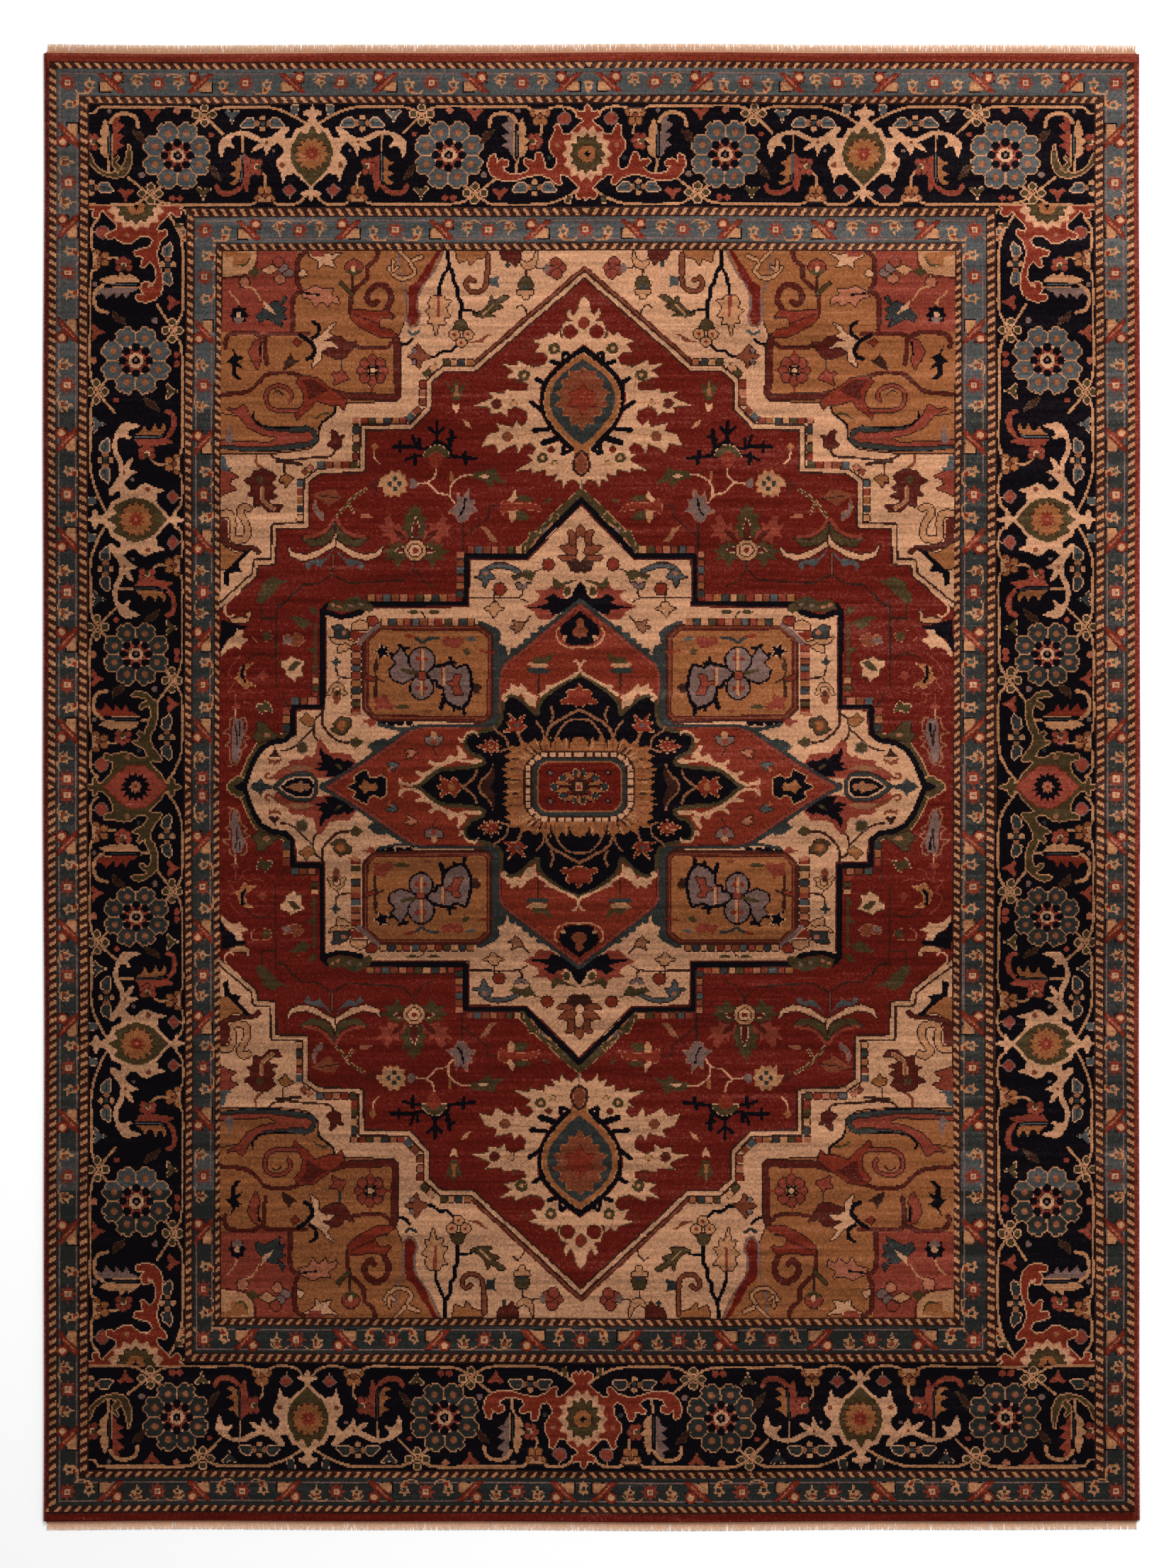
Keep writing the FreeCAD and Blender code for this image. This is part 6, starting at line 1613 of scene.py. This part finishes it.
def pile_piece(name, zone, nodes):
    """One colour field: its knots' tops, and the cut pile down to the cloth round its outline."""
    mask = knot_zone == zone
    rows, columns = np.nonzero(mask)
    first = rows * (ACROSS + 1) + columns
    corner = [first, first + 1, first + ACROSS + 2, first + ACROSS + 1]
    top = np.stack(corner, 1)
    index = knot_material[mask]
    framed = np.pad(mask, 1)
    walls, wall_index = [], []
    for turn, (down, right) in enumerate(((-1, 0), (0, 1), (1, 0), (0, -1))):
        open_side = ~framed[1 + down : 1 + down + ALONG, 1 + right : 1 + right + ACROSS][mask]
        walls.append(np.stack([corner[turn][open_side], corner[(turn + 1) % 4][open_side]], 1))
        wall_index.append(index[open_side])
    walls, wall_index = np.concatenate(walls), np.concatenate(wall_index)
    kept, order = np.unique(top, return_inverse=True)
    feet, foot_order = np.unique(walls, return_inverse=True)
    lookup = np.zeros(len(tips), np.int64)
    lookup[kept] = np.arange(len(kept))
    foot_points = tips[feet].copy()
    foot_points[:, 2] = PILE_FOOT
    lower = foot_order.reshape(walls.shape) + len(kept)
    sides = np.stack([lower[:, 0], lower[:, 1], lookup[walls[:, 1]], lookup[walls[:, 0]]], 1)
    present = np.unique(index)
    short = np.zeros(len(MATERIAL_KEYS), np.int64)
    short[present] = np.arange(len(present))
    groups = [(order.reshape(top.shape), short[index]), (sides, short[wall_index])]
    piece = mesh_piece(name, np.vstack([tips[kept], foot_points]), groups,
                       [MATERIAL_KEYS[k] for k in present])
    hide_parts(*nodes)
    return piece


def four(name, ends=("head", "foot", "left", "right")):
    return [f"{name}_{end}" for end in ends]


CORNERS = ("head_left", "head_right", "foot_left", "foot_right")
# Each zone's CAD nodes and its material slot.
ZONE_NODES = {
    "edge_band": (four("edge_band"), "wool_red"),
    "rope_stripe_one": (four("rope_stripe_one"), "wool_rope_stripe"),
    "outer_minor_border": (four("outer_minor_border"), "wool_blue_grey"),
    "rope_stripe_two": (four("rope_stripe_two"), "wool_rope_stripe"),
    "main_border": (four("main_border"), "wool_navy"),
    "rope_stripe_three": (four("rope_stripe_three"), "wool_rope_stripe"),
    "inner_minor_border": (four("inner_minor_border"), "wool_blue_grey"),
    "rope_stripe_four": (four("rope_stripe_four"), "wool_rope_stripe"),
    "field": (["field_ground"], "wool_red"),
    "corner_bands": (four("corner_band", CORNERS), "wool_ivory"),
    "corner_pieces": (four("corner_piece", CORNERS), "wool_gold"),
    "pendants": (four("pendant", ("head", "foot")), "wool_ivory"),
    "medallion_star": (["medallion_star"], "wool_ivory"),
    "medallion_lozenge": (["medallion_lozenge"], "wool_brick"),
    "medallion_panels": (four("medallion_panel", CORNERS), "wool_gold"),
    "medallion_rosette": (["medallion_rosette"], "wool_navy"),
    "medallion_cartouche": (["medallion_cartouche"], "wool_brick"),
}
pile = [pile_piece(name, ZONES.index(name), nodes) for name, (nodes, slot) in ZONE_NODES.items()]


# ------------------------ the cloth under the pile
def foundation():
    """Cotton cloth: on its back each knot's loops show the design again, coarser."""
    low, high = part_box("foundation_cloth")
    coarse = 2
    columns, rows = ACROSS // coarse, ALONG // coarse
    xs, ys = np.linspace(low.x, high.x, columns + 1), np.linspace(low.y, high.y, rows + 1)
    gx, gy = np.meshgrid(xs, ys)
    loops = 0.00025 * np.abs(random.normal(size=gx.shape))
    back = np.stack([gx, gy, low.z + np.clip(loops, 0, 0.0008)], -1).reshape(-1, 3)
    quads = quad_grid(rows, columns)[:, [0, 3, 2, 1]]
    # The back takes the knots' own materials, with their painted light and painted glint.
    material = knot_material[: rows * coarse : coarse, : columns * coarse : coarse].ravel()
    ring = grid_rim(rows, columns)
    upper = back[ring].copy()
    upper[:, 2] = high.z
    above = np.arange(len(ring)) + len(back)
    after = np.roll(np.arange(len(ring)), -1)
    sides = np.stack([ring, ring[after], above[after], above], 1)
    cotton = len(MATERIAL_KEYS)
    groups = [(quads, material), (sides, np.full(len(sides), cotton)), (above[None, :], np.array([cotton]))]
    used = MATERIAL_KEYS + ["cotton_web"]
    piece = mesh_piece("foundation_cloth_weave", np.vstack([back, upper]), groups, used)
    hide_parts("foundation_cloth")
    return piece


cloth = foundation()


# ------------------------ woven ends and fringes
def woven_end(end):
    """The flat cotton strip past the last row of knots, with its weft ribs."""
    low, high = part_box(f"woven_end_{end}")
    columns, rows = 1350, 4
    gx, gy = np.meshgrid(np.linspace(low.x, high.x, columns + 1), np.linspace(low.y, high.y, rows + 1))
    weave = (np.indices(gx.shape).sum(0) % 2) * 0.0005
    fuzz = 0.0001 * random.normal(size=gx.shape).clip(-2, 2)
    top = np.stack([gx, gy, high.z - 0.0007 + weave * 0.8 + fuzz], -1).reshape(-1, 3)
    bottom = top.copy()
    bottom[:, 2] = low.z
    quads = quad_grid(rows, columns)
    under = quads[:, ::-1] + len(top)
    ring = grid_rim(rows, columns)
    after = np.roll(ring, -1)
    sides = np.stack([ring + len(top), after + len(top), after, ring], 1)
    faces = np.vstack([quads, under, sides])
    groups = [(faces, np.zeros(len(faces)))]
    piece = mesh_piece(f"woven_end_{end}_strip", np.vstack([top, bottom]), groups, ["cotton_web"])
    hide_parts(f"woven_end_{end}")
    return piece


def fringe(end, outward):
    """Warp ends left as short strands that lie on the floor, leaning into loose clumps."""
    low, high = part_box(f"fringe_{end}")
    root, depth = low.y if outward > 0 else high.y, high.y - low.y
    count, rings, around = 2500, 6, 5
    clump = 0.016         # metres of fringe whose strands lean together
    x = np.linspace(low.x + 0.001, high.x - 0.001, count) + random.normal(size=count) * 0.0006
    reach = depth * (1.12 - 0.12 * random.random(count) ** 2)
    centre = (np.floor(x / clump) + 0.5) * clump
    sway = (centre - x) * random.uniform(0, 0.25, count) + random.normal(size=count) * 0.0009
    curl = random.normal(size=count) * 0.0005
    thick = random.uniform(0.0006, 0.00085, count)
    t = np.linspace(0, 1, rings)
    path_x = x[:, None] + sway[:, None] * t**1.5 + curl[:, None] * np.sin(t * 5)
    path_y = root + outward * reach[:, None] * t - outward * 0.001
    height = random.uniform(0.0009, 0.0017, count)
    path_z = low.z + thick[:, None] + height[:, None] * (1 - t**0.7) * (1 - 0.3 * t)
    radius = thick[:, None] * (1 - 0.15 * t)
    turn = np.linspace(0, 2 * math.pi, around, endpoint=False)
    px = path_x[:, :, None] + radius[:, :, None] * np.cos(turn)
    pz = path_z[:, :, None] + radius[:, :, None] * np.sin(turn)
    py = np.broadcast_to(path_y[:, :, None], px.shape)
    points = np.stack([px, py, pz], -1).reshape(-1, 3)
    s, r, a = np.meshgrid(np.arange(count), np.arange(rings - 1), np.arange(around), indexing="ij")
    base = (s * rings + r) * around
    nxt = (a + 1) % around
    quads = np.stack([base + a, base + nxt, base + around + nxt, base + around + a], -1).reshape(-1, 4)
    if outward > 0:
        quads = quads[:, ::-1]
    # Strands turn lighter toward their tips and the tip caps take the palest cotton: painted highlight.
    index = np.clip(r.ravel() - 2 + (random.random(r.size) < 0.35), 0, 2)
    tips_start = (np.arange(count) * rings + rings - 1) * around
    caps = tips_start[:, None] + np.arange(around)[:: 1 if outward < 0 else -1]
    roots = (np.arange(count) * rings * around)[:, None] + np.arange(around)[:: 1 if outward > 0 else -1]
    groups = [(quads, index), (caps, np.full(count, 2)), (roots, np.zeros(count))]
    used = [f"cotton_{end}", f"cotton_{end}_light", f"cotton_{end}_pale"]
    piece = mesh_piece(f"fringe_{end}_strands", points, groups, used)
    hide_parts(f"fringe_{end}")
    return piece


# ------------------------ bound sides
def rope_tube(name, node, radius, rings, around, swell, keys, index_of):
    """A tube along the rug's side, its radius and colour set ring by ring."""
    low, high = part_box(node)
    x0, z0 = (low.x + high.x) / 2, (low.z + high.z) / 2
    ys = np.linspace(low.y, high.y, rings)
    turn = np.linspace(0, 2 * math.pi, around, endpoint=False)
    yy, tt = np.meshgrid(ys, turn, indexing="ij")
    r = radius * swell(yy, tt)
    points = np.stack([x0 + r * np.cos(tt), yy, np.maximum(z0 + r * np.sin(tt), low.z)], -1).reshape(-1, 3)
    k, a = np.meshgrid(np.arange(rings - 1), np.arange(around), indexing="ij")
    nxt = (a + 1) % around
    here, onward = k * around, (k + 1) * around
    quads = np.stack([here + a, onward + a, onward + nxt, here + nxt], -1).reshape(-1, 4)
    groups = [(quads, index_of(k.ravel())), (np.arange(around)[None, :], np.zeros(1)),
              (((rings - 1) * around + np.arange(around))[None, ::-1], np.zeros(1))]
    piece = mesh_piece(name, points, groups, keys)
    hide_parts(node)
    return piece


def selvedge(side):
    """Wool wound round a cotton cord: one wrap about every three millimetres."""
    node = f"selvedge_wrap_{side}"
    low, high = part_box(node)
    pitch, steps = 0.0030, 4
    rings = round((high.y - low.y) / pitch) * steps + 1
    lots = random.integers(0, 3, rings)

    def swell(yy, tt):
        phase = (yy - low.y) / pitch + 0.18 * np.cos(tt)
        return 0.93 + 0.07 * np.abs(np.sin(math.pi * phase))

    wrap = rope_tube(f"{node}_wool", node, (high.z - low.z) / 2, rings, 12, swell,
                     list(SELVEDGE_COLOURS), lambda k: lots[k // steps])
    core_low, core_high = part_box(f"selvedge_core_{side}")
    core = rope_tube(f"selvedge_core_{side}_cord", f"selvedge_core_{side}",
                     (core_high.z - core_low.z) / 2, 900, 9,
                     lambda yy, tt: 0.86 + 0.14 * np.abs(np.cos(1.5 * tt + yy * 260)),
                     ["cotton_cord"], lambda k: np.zeros(len(k)))
    return [wrap, core]


ends = [woven_end("head"), woven_end("foot"), fringe("head", 1), fringe("foot", -1)]
trim = [*ends, *selvedge("left"), *selvedge("right")]


# ------------------------ floor, light and camera
def floor():
    """A plain pale floor, a hair below the rug."""
    bpy.ops.mesh.primitive_plane_add(size=16, location=(0, 0, -0.0004))
    plane = bpy.context.object
    plane.name = "floor"
    material = bpy.data.materials.new("white_floor")
    material.use_nodes = True
    shader = material.node_tree.nodes["Principled BSDF"]
    shader.inputs["Base Color"].default_value = (0.94, 0.94, 0.94, 1)
    shader.inputs["Roughness"].default_value = 0.9
    shader.inputs["Specular IOR Level"].default_value = 0.1
    plane.data.materials.append(material)


def soft_light():
    """One broad lamp from the head's right side, and an even pale room."""
    world = bpy.data.worlds.new("studio")
    bpy.context.scene.world = world
    world.use_nodes = True
    world.node_tree.nodes["Background"].inputs["Color"].default_value = (1, 1, 1, 1)
    world.node_tree.nodes["Background"].inputs["Strength"].default_value = 0.69
    lamp = bpy.data.lights.new("key", "AREA")
    lamp.shape = "DISK"
    lamp.size = 2.6
    lamp.energy = 260
    holder = bpy.data.objects.new("key", lamp)
    holder.location = (2.0, 2.6, 4.5)
    holder.rotation_euler = (-holder.location).to_track_quat("-Z", "Y").to_euler()
    bpy.context.scene.collection.objects.link(holder)


def camera():
    """Straight above the rug, from far enough for its sides to stay parallel."""
    lens, sensor, view_height = 90.0, 36.0, 3.884
    aside, onward = -0.009, 0.008     # metres from the rug's middle
    data = bpy.data.cameras.new("above")
    data.lens, data.sensor_width = lens, sensor
    holder = bpy.data.objects.new("above", data)
    holder.location = (aside, onward, PILE_TOP + view_height * lens / sensor)
    bpy.context.scene.collection.objects.link(holder)
    bpy.context.scene.camera = holder
    bpy.context.scene.view_settings.view_transform = "Standard"


floor()
soft_light()
camera()
